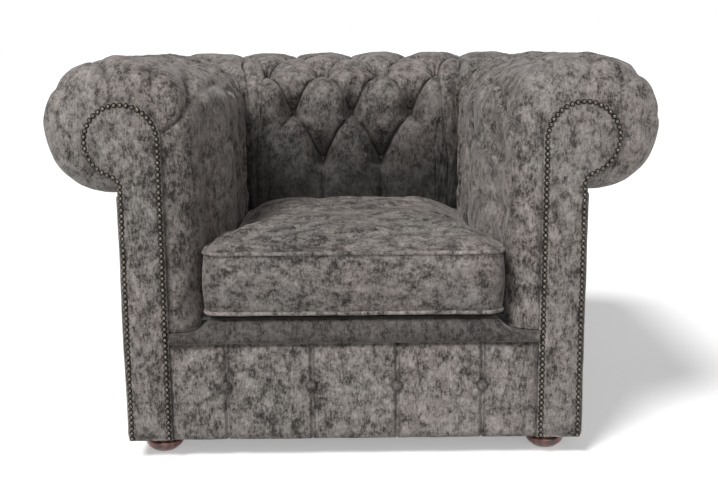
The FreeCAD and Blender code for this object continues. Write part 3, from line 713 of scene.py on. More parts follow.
def fold(y, down, path, depth):
    """A crease along a path of three (y, down) points, fading at its far end."""
    (y0, d0), (y1, d1), (y2, d2) = path
    t = np.linspace(0, 1, 15)
    py = (1 - t) ** 2 * y0 + 2 * t * (1 - t) * y1 + t ** 2 * y2
    pd = (1 - t) ** 2 * d0 + 2 * t * (1 - t) * d1 + t ** 2 * d2
    away = np.full(y.shape, 9.0)
    share = np.zeros(y.shape)
    for k in range(len(t)):
        gap = np.hypot(y - py[k], down - pd[k])
        share = np.where(gap < away, t[k], share)
        away = np.minimum(away, gap)
    fade = smooth((1.0 - share) / 0.4) * smooth((share + 0.1) / 0.1)
    crease = np.exp(-np.maximum(away - 0.001, 0) / fold_width) + 0.5 * np.exp(-(away / fold_reach) ** 2)
    return depth * fade * crease


left_folds = (
    (((-0.418, 0.002), (-0.37, 0.004), (-0.28, 0.045)), 0.0110),
    (((-0.415, 0.075), (-0.38, 0.085), (-0.31, 0.125)), 0.0100),
    (((-0.415, -0.205), (-0.36, -0.205), (-0.29, -0.150)), 0.0110),
    (((-0.10, -0.30), (-0.08, -0.36), (-0.02, -0.42)), 0.0070),
)
right_folds = (
    (((-0.418, -0.010), (-0.37, -0.004), (-0.31, -0.010)), 0.0105),
    (((-0.415, 0.060), (-0.37, 0.070), (-0.30, 0.100)), 0.0100),
    (((-0.400, 0.140), (-0.37, 0.145), (-0.34, 0.150)), 0.0080),
    (((-0.415, -0.250), (-0.33, -0.230), (-0.22, -0.150)), 0.0100),
)


def arm_relief(y, down, folds):
    points = np.stack([y.ravel(), down.ravel(), np.zeros(y.size)], 1)
    outer = smooth((down - 0.02) / 0.10)
    soft = blend(0.0030, 0.0012, outer) * waves(points, 0.085, 3).reshape(y.shape)
    gathers = pucker(y - arm_first_button_y, down) * smooth((y - arm_first_button_y + 0.10) / 0.03)
    corner = smooth((y - arm_first_button_y - 0.02) / 0.14) * smooth((roll_y - y) / 0.02)
    inner = smooth((0.10 - down) / 0.08) * smooth((down + 0.52) / 0.10)
    bend = y + 0.030 * np.sin(down * 11.0) + 0.010 * waves(points, 0.12, 5).reshape(y.shape)
    pulled = pull_depth * np.exp(-np.abs(np.sin(bend * math.pi / pull_pitch)) / 0.24) * corner * inner
    edge = smooth((y - front_y) / 0.012)
    relief = (soft + gathers + pulled) * edge
    for path, depth in folds:
        relief = relief + blend(1.0, 0.45, outer) * fold(y, down, path, depth)
    return relief


def back_relief(x, down):
    points = np.stack([x.ravel(), down.ravel(), np.ones(x.size)], 1)
    soft = 0.0022 * waves(points, 0.085, 11).reshape(x.shape)
    return soft + pucker(x, down, (back_first_row - 1) / 2) * smooth((0.30 - np.abs(x)) / 0.03)


def turned_in(axis, centre, centre_z, foot):
    """A skirt that turns in towards the roll's axis, and along the deck at the cover's foot."""
    def move(edge):
        inner = edge.copy()
        low = edge[:, 2] < deck_z + 0.002
        inner[:, axis] += np.where(low, foot, (centre - edge[:, axis]) * cover_turn_in)
        inner[:, 2] += np.where(low, 0.0, (centre_z - edge[:, 2]) * cover_turn_in)
        return inner
    return move


def build_arms():
    step = button_pitch / 2 / cell
    angles = np.linspace(0, math.pi / 2, 15)
    front = front_y + front_rounding * (1 - np.cos(angles))
    first = math.ceil((front[-1] + 0.5 * step - arm_first_button_y) / step)
    last = math.floor((roll_y - 0.5 * step - arm_first_button_y) / step)
    regular = arm_first_button_y + np.arange(first, last + 1) * step
    turning = np.linspace(0, math.pi / 4, 17)
    stations = np.concatenate([front, regular, np.full(len(turning), roll_y)])
    turns = np.concatenate([np.zeros(len(front) + len(regular)), turning])
    skirt = turned_in(0, head_x, head_z, arm_cover_foot)
    for side, folds in (("right", right_folds), ("left", left_folds)):
        points, faces = tufted_sheet(
            stations, turns, arm_first_button_y, arm_depth, place_arm, arm_reach_at, arm_front,
            lambda y, down: arm_relief(y, down, folds)
        )
        points, faces = skirted(points, faces, skirt)
        left = side == "left"
        # The left arm takes the copy of the cloth with painted shade towards its foot; the right arm has
        # none.
        cloth = arm_velvet_left_painted_shade if left else velvet
        points = mirror_points(points) if left else points
        piece = new_mesh("inside_arm_cover_" + side, points, faces, cloth, not left)
        finish_piece(piece, "chair", ("arm_cover_" + side, "arm_foam_" + side))


def build_back():
    step = button_pitch / 2 / cell
    last = math.floor((roll_x - 0.5 * step) / step)
    regular = np.arange(-last, last + 1) * step
    turning = np.linspace(0, math.pi / 4, 17)
    ends = np.full(len(turning), roll_x)
    stations = np.concatenate([-ends, regular, ends])
    turns = np.concatenate([turning[::-1], np.zeros(len(regular)), turning])
    points, faces = tufted_sheet(
        stations, turns, 0.0, back_depth, place_back, lambda x: back_reach + 0 * x, lambda x: 1.0 + 0 * x,
        back_relief
    )
    points, faces = skirted(points, faces, turned_in(1, roll_y, roll_z, back_cover_foot))
    piece = new_mesh("inside_back_cover", points, faces, back_velvet_painted_shade)
    finish_piece(piece, "chair", ("back_cover", "back_foam"))


# Covered buttons
def dome_rings(profile, sides):
    """Points of a small turned form: (radius, height) pairs about the z axis, first at the rim."""
    angles = np.arange(sides) * 2 * math.pi / sides
    rings = [np.stack([r * np.cos(angles), r * np.sin(angles), np.full(sides, h)], 1) for r, h in profile]
    return np.concatenate(rings)


def turned_group(name, places, profile, sides, material, worn_and_lit=None, worn_and_lit_from=0):
    """One mesh of equal turned forms, each at a point and facing along a direction. From the ring
    given by the last argument on, the rings take the second material: on the nails, a top that is
    partly wear and partly painted highlight, over a near-black rim of painted shade."""
    base = dome_rings(profile, sides)
    count = len(profile)
    ring_faces = grid_faces(count, sides, loop_columns=True)
    ring_faces += [end_face(count - 1, sides), end_face(0, sides)[::-1]]
    points = []
    faces = []
    for at, out in places:
        turn = Vector(out).to_track_quat("Z", "Y").to_matrix()
        placed = base @ np.array(turn).T + np.array(at)
        start = len(points) * len(base)
        points.append(placed)
        faces += [[start + k for k in f] for f in ring_faces]
    piece = new_mesh(name, np.concatenate(points), faces, material)
    if worn_and_lit:
        piece.data.materials.append(worn_and_lit)
        one = [int(k >= worn_and_lit_from * sides) for k in range((count - 1) * sides + 1)] + [0]
        piece.data.polygons.foreach_set("material_index", np.array(one * len(places), np.int32))
    return piece


def button_profile(radius):
    profile = [(0.8 * radius, -0.0030), (radius, -0.0020), (1.04 * radius, 0.0)]
    for k in range(1, 7):
        angle = k * math.pi / 14
        profile.append((radius * math.cos(angle), button_dome * math.sin(angle)))
    profile.append((0.12 * radius, 0.0050))
    return profile


def lattice(first, low, high, row):
    """Places along a row of buttons; every other row starts half a pitch on."""
    start = first + (0.0 if row % 2 else button_pitch / 2)
    k = math.ceil((low - start) / button_pitch)
    found = []
    while start + k * button_pitch <= high:
        found.append(start + k * button_pitch)
        k += 1
    return found


def seated(t, down, depth, place, reach, front):
    """Where a button sits at the bottom of its pit, and the way that it faces."""
    t = np.array([t])
    down = np.array([down])
    sunk = depth(t, down) - button_lift
    high = place(t, np.zeros(1), *section(down, reach, front, sunk - 0.010))[0]
    low = place(t, np.zeros(1), *section(down, reach, front, sunk))[0]
    return low, high - low


def build_buttons():
    profile = button_profile(button_radius)
    arm_places = []
    back_places = []
    for row in range(1, button_rows + 1):
        down = -row * row_pitch
        low = arm_first_button_y - 0.5 * button_pitch - 0.001
        high = roll_y - (0.5 if row == 1 else 1.0) * button_pitch
        for y in lattice(arm_first_button_y, low, high, row):
            arm_places.append(seated(y, down, arm_depth, place_arm, arm_reach_at(y), 1.0))
        reach = (back_first_row - row) / 2 * button_pitch + 0.001
        for x in lattice(0.0, -reach, reach, row):
            back_places.append(seated(x, down, back_depth, place_back, back_reach, 1.0))
    for side, sign in (("right", 1.0), ("left", -1.0)):
        flipped = [(at * (sign, 1, 1), out * (sign, 1, 1)) for at, out in arm_places]
        piece = turned_group("arm_buttons_covered_" + side, flipped, profile, button_sides, button_velvet_painted_shade)
        finish_piece(piece, "chair", ("arm_buttons_" + side,))
    piece = turned_group("back_buttons_covered", back_places, profile, button_sides, button_velvet_painted_shade)
    finish_piece(piece, "chair", ("back_buttons",))


# Scroll facings and their nails
facing_pad = 0.0065
facing_pad_edge = 0.009
facing_swell = 0.0015
facing_swell_reach = 0.03
facing_unevenness = 0.0007


def scroll_sides(z):
    """The facing's left and right edges at height z, on the right arm."""
    join_z = head_z - neck_dz * head_radius / (head_radius + neck_radius)
    half = math.sqrt(max(head_radius ** 2 - (z - head_z) ** 2, 0.0))
    left = facing_low.x if z < head_z else head_x - half
    if z < neck_z:
        right = leg_x
    elif z < join_z:
        right = leg_x + neck_radius - math.sqrt(max(neck_radius ** 2 - (z - neck_z) ** 2, 0.0))
    else:
        right = head_x + half
    return left, right


def facing_outline(inset, pitch):
    """Points and outward directions along the scroll from the bottom inside corner, over the head,
    to the bottom outside corner, evenly spaced."""
    join_angle = math.atan2(-neck_dz, neck_dx)
    path = []
    low = facing_low.z + inset
    path += [((facing_low.x, z), (-1.0, 0.0)) for z in np.linspace(low, head_z, 160)]
    for angle in np.linspace(math.pi, join_angle, 240)[1:]:
        way = (math.cos(angle), math.sin(angle))
        path.append(((head_x + head_radius * way[0], head_z + head_radius * way[1]), way))
    centre = leg_x + neck_radius, neck_z
    for angle in np.linspace(join_angle + math.pi, math.pi, 60)[1:]:
        way = (-math.cos(angle), -math.sin(angle))
        path.append(((centre[0] - neck_radius * way[0], centre[1] - neck_radius * way[1]), way))
    path += [((leg_x, z), (1.0, 0.0)) for z in np.linspace(neck_z, low, 140)[1:]]
    points = np.array([p for p, _ in path]) - inset * np.array([w for _, w in path])
    steps = np.hypot(*np.diff(points, axis=0).T)
    along = np.concatenate([[0], np.cumsum(steps)])
    count = round(along[-1] / pitch)
    places = np.linspace(0, along[-1], count + 1)
    return np.stack([np.interp(places, along, points[:, k]) for k in (0, 1)], 1)


def facing_height(x, z):
    """How proud the padded facing stands of its edge."""
    left, right = scroll_sides(z)
    edge = min(x - left, right - x, z - facing_low.z)
    if z > head_z:
        edge = min(edge, head_radius - math.hypot(x - head_x, z - head_z))
    edge = max(edge, 0.0)
    pad = facing_pad * (1 - math.exp(-edge / facing_pad_edge))
    return pad + facing_swell * min(edge / facing_swell_reach, 1.0)


def build_facings():
    heights = list(np.linspace(facing_low.z, head_z, 96))
    heights += [head_z + head_radius * math.sin(a) for a in np.linspace(0, math.pi / 2, 40)[1:]]
    shares = (1 - np.cos(np.linspace(0, math.pi, 37))) / 2
    points = []
    for z in heights:
        left, right = scroll_sides(z)
        for share in shares:
            x = blend(left, right, share)
            points.append((x, facing_y - facing_height(x, z) + 0.001, z))
    points = np.array(points)
    points[:, 1] += facing_unevenness * waves(points * (1, 0, 1), 0.06, 21)
    grid = points.reshape(len(heights), len(shares), 3)
    faces = grid_faces(len(heights), len(shares))
    points, faces = skirted(grid, faces, pressed_to(1, facing_high.y))
    outline = facing_outline(nail_radius + nail_from_edge, nail_pitch)
    profile = [(nail_radius, -0.001), (nail_radius, 0.0004), (0.93 * nail_radius, nail_flange)]
    for k in range(1, 6):
        angle = k * math.pi / 12
        height = blend(nail_flange, nail_height, math.sin(angle))
        profile.append((0.86 * nail_radius * math.cos(angle - 0.1), height))
    profile.append((0.1 * nail_radius, nail_height))
    for side, sign in (("right", 1.0), ("left", -1.0)):
        placed = points * (sign, 1, 1)
        piece = new_mesh("facing_pad_" + side, placed, faces, velvet, sign < 0)
        finish_piece(piece, "chair", ("arm_facing_" + side,))
        nails = []
        for x, z in outline:
            y = facing_y - facing_height(x, z) + 0.0005
            tilt = rng.normal(scale=nail_tilt, size=2)
            nails.append(((sign * x, y, z), (tilt[0], -1.0, tilt[1])))
        # The nails' near-black rims are painted shade; their brass tops are partly painted highlight.
        piece = turned_group(
            "facing_nails_" + side, nails, profile, nail_sides, nail_rim_painted_shade, brass, nail_rim_rings
        )
        finish_piece(piece, "chair")


# Front panel and lip
border_proud = 0.003
border_button_z = 0.136
border_button_pitch = 0.152
border_button_sunk = 0.0085
border_pleat_depth = 0.0045
border_pleat_width = 0.0022
border_hollow_depth = 0.0012
border_hollow_width = 0.020
border_pit_depth = 0.0040
border_pit_radius = 0.018
border_gather = 0.0007
border_gather_radius = 0.022
border_gather_spread = 0.012
border_edge_depth = 0.0080
border_edge_width = 0.006
border_places = [(k - 1.5) * border_button_pitch for k in range(4)]
lip_settles = 0.011
lip_end_drop = 0.026
lip_end_x = 0.245
lip_back = 0.010
lip_bulge = 0.021
lip_unevenness = 0.0010


def border_depth(x, z):
    """The front panel's face: drawn in at its edges, its pleats and its buttons."""
    pleat = np.zeros_like(x)
    pit = np.zeros_like(x)
    for place in border_places:
        away = np.abs(x - place)
        crease = np.exp(-(away / border_pleat_width) ** 2) * border_pleat_depth
        crease = crease + np.exp(-(away / border_hollow_width)) * border_hollow_depth
        pleat = np.maximum(pleat, crease)
        radius = np.hypot(x - place, z - border_button_z)
        angle = np.arctan2(z - border_button_z, x - place)
        gathers = border_gather * np.cos(angle * 8 + place * 60)
        gathers = gathers * np.exp(-((radius - border_gather_radius) / border_gather_spread) ** 2)
        pit = pit + np.exp(-(radius / border_pit_radius) ** 2) * border_pit_depth + gathers
    edge = np.minimum(np.minimum(border_high.x - np.abs(x), border_high.z - z), z - border_low.z)
    return pleat + pit + border_edge_depth * np.exp(-edge / border_edge_width)


def build_front():
    x = np.linspace(-border_high.x, border_high.x, 341)
    x = np.sort(np.concatenate([x, border_places]))
    z = np.linspace(border_low.z, border_high.z, 91)
    gx, gz = np.meshgrid(x, z, indexing="ij")
    flat = np.stack([gx.ravel(), 0 * gx.ravel(), gz.ravel()], 1)
    soft = 0.0010 * waves(flat, 0.07, 31).reshape(gx.shape)
    gy = facing_y - border_proud + border_depth(gx, gz) + soft
    grid = np.stack([gx, gy, gz], -1)
    points, faces = skirted(grid, grid_faces(len(x), len(z)), pressed_to(1, border_high.y))
    piece = new_mesh("front_panel_padded", points, faces, velvet, True)
    finish_piece(piece, "chair", ("front_border",))
    places = []
    for place in border_places:
        depth = border_depth(np.array([place]), np.array([border_button_z]))[0]
        y = facing_y - border_proud + depth - border_button_sunk
        places.append(((place, y, border_button_z), (0, -1, 0)))
    piece = turned_group("front_panel_buttons", places, button_profile(button_radius), 24, button_velvet_painted_shade)
    finish_piece(piece, "chair", ("border_buttons",))


def build_lip():
    """The padded roll under the cushion: a closed section swept along x with soft unevenness."""
    angles = np.linspace(-math.pi / 2, math.pi / 2, 29)
    top = lip_high.z - lip_settles
    half = (top - lip_low.z) / 2 - 0.001
    middle = (top + lip_low.z) / 2
    x = np.linspace(lip_low.x, lip_high.x, 161)
    rows = []
    for place in x:
        y = facing_y + lip_back - lip_bulge * np.abs(np.cos(angles)) ** 0.55
        z = middle + half * np.sign(np.sin(angles)) * np.abs(np.sin(angles)) ** 0.85
        pressed = lip_end_drop * smooth((abs(place) - lip_end_x) / 0.04)
        z = z - pressed * np.clip((z - lip_low.z) / (top - lip_low.z), 0, 1)
        front = np.stack([np.full(len(angles), place), y, z], 1)
        rows.append(np.concatenate([[[place, lip_high.y, z[0]]], front, [[place, lip_high.y, z[-1]]]]))
    flat, faces = ringed(rows, both=True)
    flat[:, 1] += lip_unevenness * waves(flat, 0.06, 41) * (flat[:, 1] < facing_y + 0.012)
    # The lip takes the darker copy of the cloth: painted shade under the cushion.
    piece = new_mesh("seat_lip_padded", flat, faces, lip_velvet_painted_shade, True)
    finish_piece(piece, "chair", ("seat_lip",))


# Outside panels of the arms and the back
panel_edge_depth = 0.004
panel_unevenness = 0.0008


def fine_ended(length, count):
    """Places along a length, close together near both ends."""
    ends = np.array([0, 0.002, 0.005, 0.010])
    return np.concatenate([ends, np.linspace(0.02, length - 0.02, count), length - ends[::-1]])


def padded_panel(name, origin, across, up, width, height, out, thickness, replaced):
    """A flat upholstered panel with a soft face and rolled edges."""
    columns = fine_ended(width, 70)
    rows = fine_ended(height, 50)
    a, b, edge, flat = flat_grid(columns, rows)
    lift = thickness - panel_edge_depth * np.exp(-edge / panel_edge_depth)
    lift = lift + panel_unevenness * waves(flat, 0.16, len(name)).reshape(a.shape)
    origin, across, up, out = (np.array(v, float) for v in (origin, across, up, out))
    grid = origin + a[..., None] * across + b[..., None] * up + lift[..., None] * out

    def inwards(ring):
        return ring - out * ((ring - origin) @ out)[:, None]

    points, faces = skirted(grid, grid_faces(len(columns), len(rows)), inwards)
    flip = np.dot(np.cross(across, up), out) < 0
    piece = new_mesh(name, points, faces, velvet, bool(flip))
    finish_piece(piece, "chair", replaced)


def build_outside():
    size = np.subtract(panel_high, panel_low)
    for side, sign in (("right", 1.0), ("left", -1.0)):
        origin = (sign * panel_low.x, panel_low.y, panel_low.z)
        padded_panel("outside_arm_" + side, origin, (0, 1, 0), (0, 0, 1), size[1], size[2], (sign, 0, 0),
                     size[0], ("outside_arm_panel_" + side,))
    low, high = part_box("outside_back_panel")
    size = np.subtract(high, low)
    padded_panel("outside_back", tuple(low), (1, 0, 0), (0, 0, 1), size[0], size[2], (0, 1, 0),
                 size[1], ("outside_back_panel",))


# Loose cushion
cushion_corner = 0.026
cushion_back_corner = 0.060
cushion_front_half = cushion_high.x
cushion_clear = 0.00955
cushion_middle_y = (cushion_low.y + cushion_high.y) / 2
cushion_settles = 0.009
seam_drop = 0.010
crown_gain = 0.024
piping_radius = 0.0036
piping_proud = 0.0012
piping_unevenness = 0.0006
border_swell = 0.0055
border_ripple = 0.0011
top_ripple_across = 0.0036
top_ripple_round = 0.0030
seam_pucker = 0.0012
half_front_points = 50
side_points = 90


def cushion_half_width(y):
    arm = roll_x - blend(roll_x - facing_low.x, arm_reach_at(y), arm_front(np.maximum(y, front_y)))
    return np.minimum(cushion_front_half, arm - cushion_clear)


def cushion_outline():
    """The cushion's plan as a closed loop of points, anticlockwise from the front's middle."""
    front = cushion_low.y
    back = cushion_high.y
    c = cushion_corner
    right = [(x, front) for x in np.linspace(0, cushion_front_half - c, half_front_points)]
    for angle in np.linspace(-math.pi / 2, 0, 12)[1:]:
        right.append((cushion_front_half - c + c * math.cos(angle), front + c + c * math.sin(angle)))
    b = cushion_back_corner
    for y in np.linspace(front + c, back - b, side_points)[1:]:
        right.append((float(cushion_half_width(np.array([y]))[0]), y))
    wide = float(cushion_half_width(np.array([back - b]))[0])
    for angle in np.linspace(0, math.pi / 2, 22)[1:]:
        right.append((wide - b + b * math.cos(angle), back - b + b * math.sin(angle)))
    right += [(x, back) for x in np.linspace(wide - b, 0, half_front_points)[1:]]
    left = [(-x, y) for x, y in right[::-1]][1:-1]
    return np.array(right + left)


def outward(outline):
    before = np.roll(outline, 1, 0)
    after = np.roll(outline, -1, 0)
    way = after - before
    way = np.stack([way[:, 1], -way[:, 0]], 1)
    return way / np.linalg.norm(way, axis=1)[:, None]


def tube(path, out, radius, sides):
    """A closed tube round a path of points, with its section in the plane of out and z."""
    rings = []
    for k in range(sides):
        angle = 2 * math.pi * k / sides
        ring = path.copy()
        ring[:, :2] += out * (radius * math.cos(angle))
        ring[:, 2] += radius * math.sin(angle)
        rings.append(ring)
    points = np.stack(rings, 1)
    return points.reshape(-1, 3), grid_faces(len(path), sides, loop_rows=True, loop_columns=True)


def shrunk(outline, share, z):
    """The outline drawn in towards the cushion's middle, at a height."""
    y = cushion_middle_y + (outline[:, 1] - cushion_middle_y) * share
    return np.stack([outline[:, 0] * share, y, np.full(len(outline), z)], 1)


def build_cushion_top(outline, high):
    """Rings from the seam inwards, crowned, with shallow pull lines from the seam."""
    count = len(outline)
    crown = top_panel_high.z - cushion_high.z + crown_gain
    shares = 1 - np.linspace(0, 1, 62) ** 1.25
    shares = np.concatenate([[1.0, 0.995, 0.988], shares[shares < 0.98]])
    rings = [shrunk(outline, share, high + (crown * (1 - share ** 4.0) + 0.001)) for share in shares]
    flat, faces = ringed(rings)
    ripple = top_ripple_across * waves(flat * (0.40, 1.6, 0), 0.05, 51)
    ripple = ripple + top_ripple_round * waves(flat * (1, 1, 0), 0.16, 52)
    away = 1 - np.repeat(shares, count)
    inside = np.repeat(smooth((1 - shares) / 0.08), count)
    seam = np.exp(-(away / 0.06))
    angle = np.tile(np.arange(count), len(shares)) * 2 * math.pi / count
    puckers = seam_pucker * (np.sin(angle * 43) + 0.7 * np.sin(angle * 61 + 1.0)) * seam
    flat[:, 2] += ripple * inside - 0.0012 * inside + puckers * smooth(away / 0.012)
    piece = new_mesh("cushion_top_cover", flat, faces, cushion_velvet_painted_shade)
    finish_piece(piece, "seat_cushion", ("cushion_top_panel", "cushion_core"))


def build_cushion_border(outline, out, low, high):
    """The border between the pipings: it swells at mid height, ripples at its seams and is drawn in
    all along its back, where the zip is."""
    count = len(outline)
    rings = []
    behind = smooth((out[:, 1] - 0.5) / 0.4)
    angle = np.arange(count) * 2 * math.pi / count
    for level in np.linspace(0, 1, 25):
        swelling = border_swell * math.sin(math.pi * level) ** 0.8
        to_seam = min(level, 1 - level)
        near = math.exp(-to_seam / 0.12)
        phase = 0.0 if level < 0.5 else 1.9
        ripples = border_ripple * near * (np.sin(angle * 52 + phase) + 0.8 * np.sin(angle * 37 + 2 * phase))
        ripples = ripples * min(to_seam / 0.08, 1.0)
        moved = (ripples + swelling) * (1 - behind) - behind * zip_recess * dome(level)
        height = np.full((count, 1), blend(low, high, level))
        rings.append(np.concatenate([outline + out * moved[:, None], height], 1))
    flat, faces = ringed(rings, capped=False)
    piece = new_mesh("cushion_boxing", flat, faces, cushion_velvet_painted_shade)
    finish_piece(piece, "seat_cushion", ("cushion_border",))


def build_cushion_bottom(outline, low):
    under = under_low.z - cushion_settles
    drops = ((1.0, 0.0), (0.985, 0.35), (0.96, 0.7), (0.91, 0.95), (0.8, 1.0), (0.4, 1.0))
    rings = [shrunk(outline, share, blend(low, under, drop)) for share, drop in drops]
    flat, faces = ringed(rings)
    piece = new_mesh("cushion_under_cover", flat, faces, cushion_velvet_painted_shade, True)
    finish_piece(piece, "seat_cushion", ("cushion_bottom_panel",))


def build_cushion():
    outline = cushion_outline()
    out = outward(outline)
    low = cushion_low.z - cushion_settles
    high = cushion_high.z - cushion_settles - seam_drop
    build_cushion_top(outline, high)
    build_cushion_border(outline, out, low, high)
    build_cushion_bottom(outline, low)
    for name, level in (("top", high), ("bottom", low)):
        path = np.concatenate([outline + out * piping_proud, np.full((len(outline), 1), level)], 1)
        path[:, 2] += piping_unevenness * waves(path, 0.05, 61)
        points, faces = tube(path, out, piping_radius, 12)
        piece = new_mesh("cushion_piping_cord_" + name, points, faces, piping_velvet)
        finish_piece(piece, "seat_cushion", ("cushion_piping_" + name,))


# Zip behind the cushion
zip_tooth_pitch = 0.0022
zip_recess = 0.0045
zip_end_bare = 0.012
zip_edge_wave = 0.0004
zip_edge_pitch = 0.017
zip_tooth_offset = 0.0012


def build_zip():
    """The zip's cloth tape, a thin strip with soft edges, and its two rows of metal teeth."""
    low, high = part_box("cushion_zip")
    x = np.linspace(low.x, high.x, 121)
    around = np.linspace(0, 2 * math.pi, 25)[:-1]
    half_wide = (high.z - low.z) / 2 - 0.0005
    half_thick = (high.y - low.y) / 2 * 0.7
    middle_y = (low.y + high.y) / 2
    middle_z = (low.z + high.z) / 2
    gx, turn = np.meshgrid(x, around, indexing="ij")
    edge = zip_edge_wave * np.sin(gx * 2 * math.pi / zip_edge_pitch)
    z = middle_z + (half_wide + edge) * np.cos(turn)
    y = middle_y + half_thick * np.sign(np.sin(turn)) * np.abs(np.sin(turn)) ** 0.35
    flat, faces = ringed(np.stack([gx, y, z], -1), both=True)
    piece = new_mesh("zip_tape_cloth", flat, faces, zip_tape, True)
    finish_piece(piece, "seat_cushion", ("cushion_zip",))
    places = []
    tooth = low.x + zip_end_bare
    side = 1
    while tooth < high.x - zip_end_bare:
        z = middle_z + side * zip_tooth_offset
        places.append(((tooth, middle_y + half_thick * 0.6, z), (0, 1, 0)))
        tooth += zip_tooth_pitch
        side = -side
    profile = [(0.0013, 0.0), (0.0013, 0.0006), (0.0010, 0.0010), (0.0004, 0.0012)]
    piece = turned_group("zip_teeth", places, profile, 8, zip_metal)
    finish_piece(piece, "seat_cushion")


# Feet, turned in mahogany
def build_feet():
    for name in ("front_left", "front_right", "rear_left", "rear_right"):
        low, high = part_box("foot_" + name)
        radius = (high.x - low.x) / 2
        centre = (low + high) / 2
        height = high.z - low.z
        profile = [(0.35, 0.0), (0.60, 0.0), (0.68, 0.015), (0.705, 0.05)]
        for k in range(1, 16):
            bun = 0.28 * math.sin(math.pi * k / 16) ** 0.9
            profile.append((blend(0.72, 0.735, k / 16) + bun, 0.05 + 0.72 * k / 16))
        profile += [(0.735, 0.775), (0.725, 0.80), (0.74, 0.82), (0.80, 0.845)]
        profile += [(0.82, 0.88), (0.82, 0.93), (0.80, 0.97), (0.76, 1.0), (0.2, 1.0)]
        scaled = [(r * radius, low.z + h * height) for r, h in profile]
        place = ((centre.x, centre.y, 0.0), (0, 0, 1))
        piece = turned_group("turned_foot_" + name, [place], scaled, 64, mahogany)
        finish_piece(piece, "chair", ("foot_" + name,))


# Webbing, dust cover and seat platform, which show only from below or without the cushion
strap_width = 0.060
strap_thickness = 0.0018
strap_wave = 0.7 * strap_thickness
dust_cover_thickness = 0.0006
dust_cover_sag = 0.003
dust_cover_wrinkle = 0.0012
platform_edge_drop = 0.010
platform_unevenness = 0.0006


def strap(low, high, long_axis, thin_axis, over):
    """One band of webbing along an axis, with a wave over it where over isn't 0. The wave is the same
    for every band, so crossing bands lie through each other at part of their crossings."""
    wide_axis = 3 - long_axis - thin_axis
    a, c = np.meshgrid(np.linspace(0, 1, 41), np.linspace(0, 1, 7), indexing="ij")
    middle = (low[thin_axis] + high[thin_axis]) / 2
    woven = over * strap_wave * np.cos(a * math.pi * 10)
    points = np.zeros((2, 41, 7, 3))
    for layer, offset in enumerate((-strap_thickness / 2, strap_thickness / 2)):
        points[layer, :, :, long_axis] = blend(low[long_axis], high[long_axis], a)
        points[layer, :, :, wide_axis] = blend(low[wide_axis], high[wide_axis], c)
        points[layer, :, :, thin_axis] = middle + woven + offset
    return slab(points[0], points[1])


def build_straps(node, plane, first_count, second_count):
    """Bands of webbing spread evenly over a frame, in one direction or in two."""
    low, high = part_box(node)
    axes = ["xyz".index(letter) for letter in plane]
    thin = 3 - sum(axes)
    points = []
    faces = []
    start = 0
    runs = ((axes[0], axes[1], first_count), (axes[1], axes[0], second_count))
    for spread, long_axis, count in runs:
        for k in range(count):
            room = (high[spread] - low[spread]) / count
            centre = low[spread] + (k + 0.5) * room
            one_low = list(low)
            one_high = list(high)
            one_low[spread] = centre - strap_width / 2
            one_high[spread] = centre + strap_width / 2
            over = 0.0 if 0 in (first_count, second_count) else (1 if k % 2 else -1)
            flat, some = strap(one_low, one_high, long_axis, thin, over)
            points.append(flat)
            faces += [[corner + start for corner in face] for face in some]
            start += len(flat)
    piece = new_mesh(node + "_straps", np.concatenate(points), faces, webbing)
    finish_piece(piece, "chair", (node,))


def build_dust_cover():
    """Black cloth stretched and tacked under the frame, sagging a little between the rails."""
    low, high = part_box("dust_cover")
    x = np.linspace(low.x, high.x, 61)
    y = np.linspace(low.y, high.y, 51)
    gx, gy, edge, flat = flat_grid(x, y)
    wrinkles = dust_cover_wrinkle * waves(flat, 0.12, 81).reshape(gx.shape) * smooth((edge - 0.03) / 0.05)
    gz = low.z + dust_cover_thickness - dust_cover_sag * smooth((edge - 0.04) / 0.12) + wrinkles
    upper = np.stack([gx, gy, gz], -1)
    points, faces = slab(upper, upper - (0, 0, dust_cover_thickness))
    piece = new_mesh("dust_cover_cloth", points, faces, lining, True)
    finish_piece(piece, "chair", ("dust_cover",))


def build_hidden():
    low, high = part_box("seat_foam")
    cloth_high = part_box("seat_platform_cloth")[1]
    x = np.linspace(low.x, high.x, 60)
    y = np.linspace(low.y, high.y, 60)
    gx, gy, edge, flat = flat_grid(x, y)
    rounding = platform_edge_drop * np.exp(-edge / 0.012)
    unevenness = platform_unevenness * (1 + waves(flat, 0.1, 71)).reshape(gx.shape)
    gz = cloth_high.z - lip_settles - rounding - unevenness
    grid = np.stack([gx, gy, gz], -1)
    points, faces = skirted(grid, grid_faces(len(x), len(y)), pressed_to(2, low.z))
    piece = new_mesh("seat_platform", points, faces, lining)
    finish_piece(piece, "chair", ("seat_foam", "seat_platform_cloth"))
    for side in ("left", "right"):
        build_straps("arm_webbing_" + side, "yz", 0, 4)
    build_straps("back_webbing", "xz", 4, 0)
    build_straps("seat_webbing", "xy", 6, 5)
    build_dust_cover()


build_arms()
build_back()
build_buttons()
build_facings()
build_front()
build_lip()
build_outside()
build_cushion()
build_zip()
build_feet()
build_hidden()

# Floor, lights and camera
floor_glow = 0.35
world_light = 0.15
world_seen = 1.0
focal_pixels = 1057.0
picture_width = 718.0
camera_place = (-0.0036, -2.2314, 0.7339)
camera_pitch = 10.66
camera_yaw = -0.425
camera_roll = -0.425
sensor_width = 36.0

floor_mesh = bpy.data.meshes.new("floor")
floor_mesh.from_pydata([(-60, -12, 0), (60, -12, 0), (60, 120, 0), (-60, 120, 0)], [], [(0, 1, 2, 3)])
floor = bpy.data.objects.new("floor", floor_mesh)
bpy.context.scene.collection.objects.link(floor)


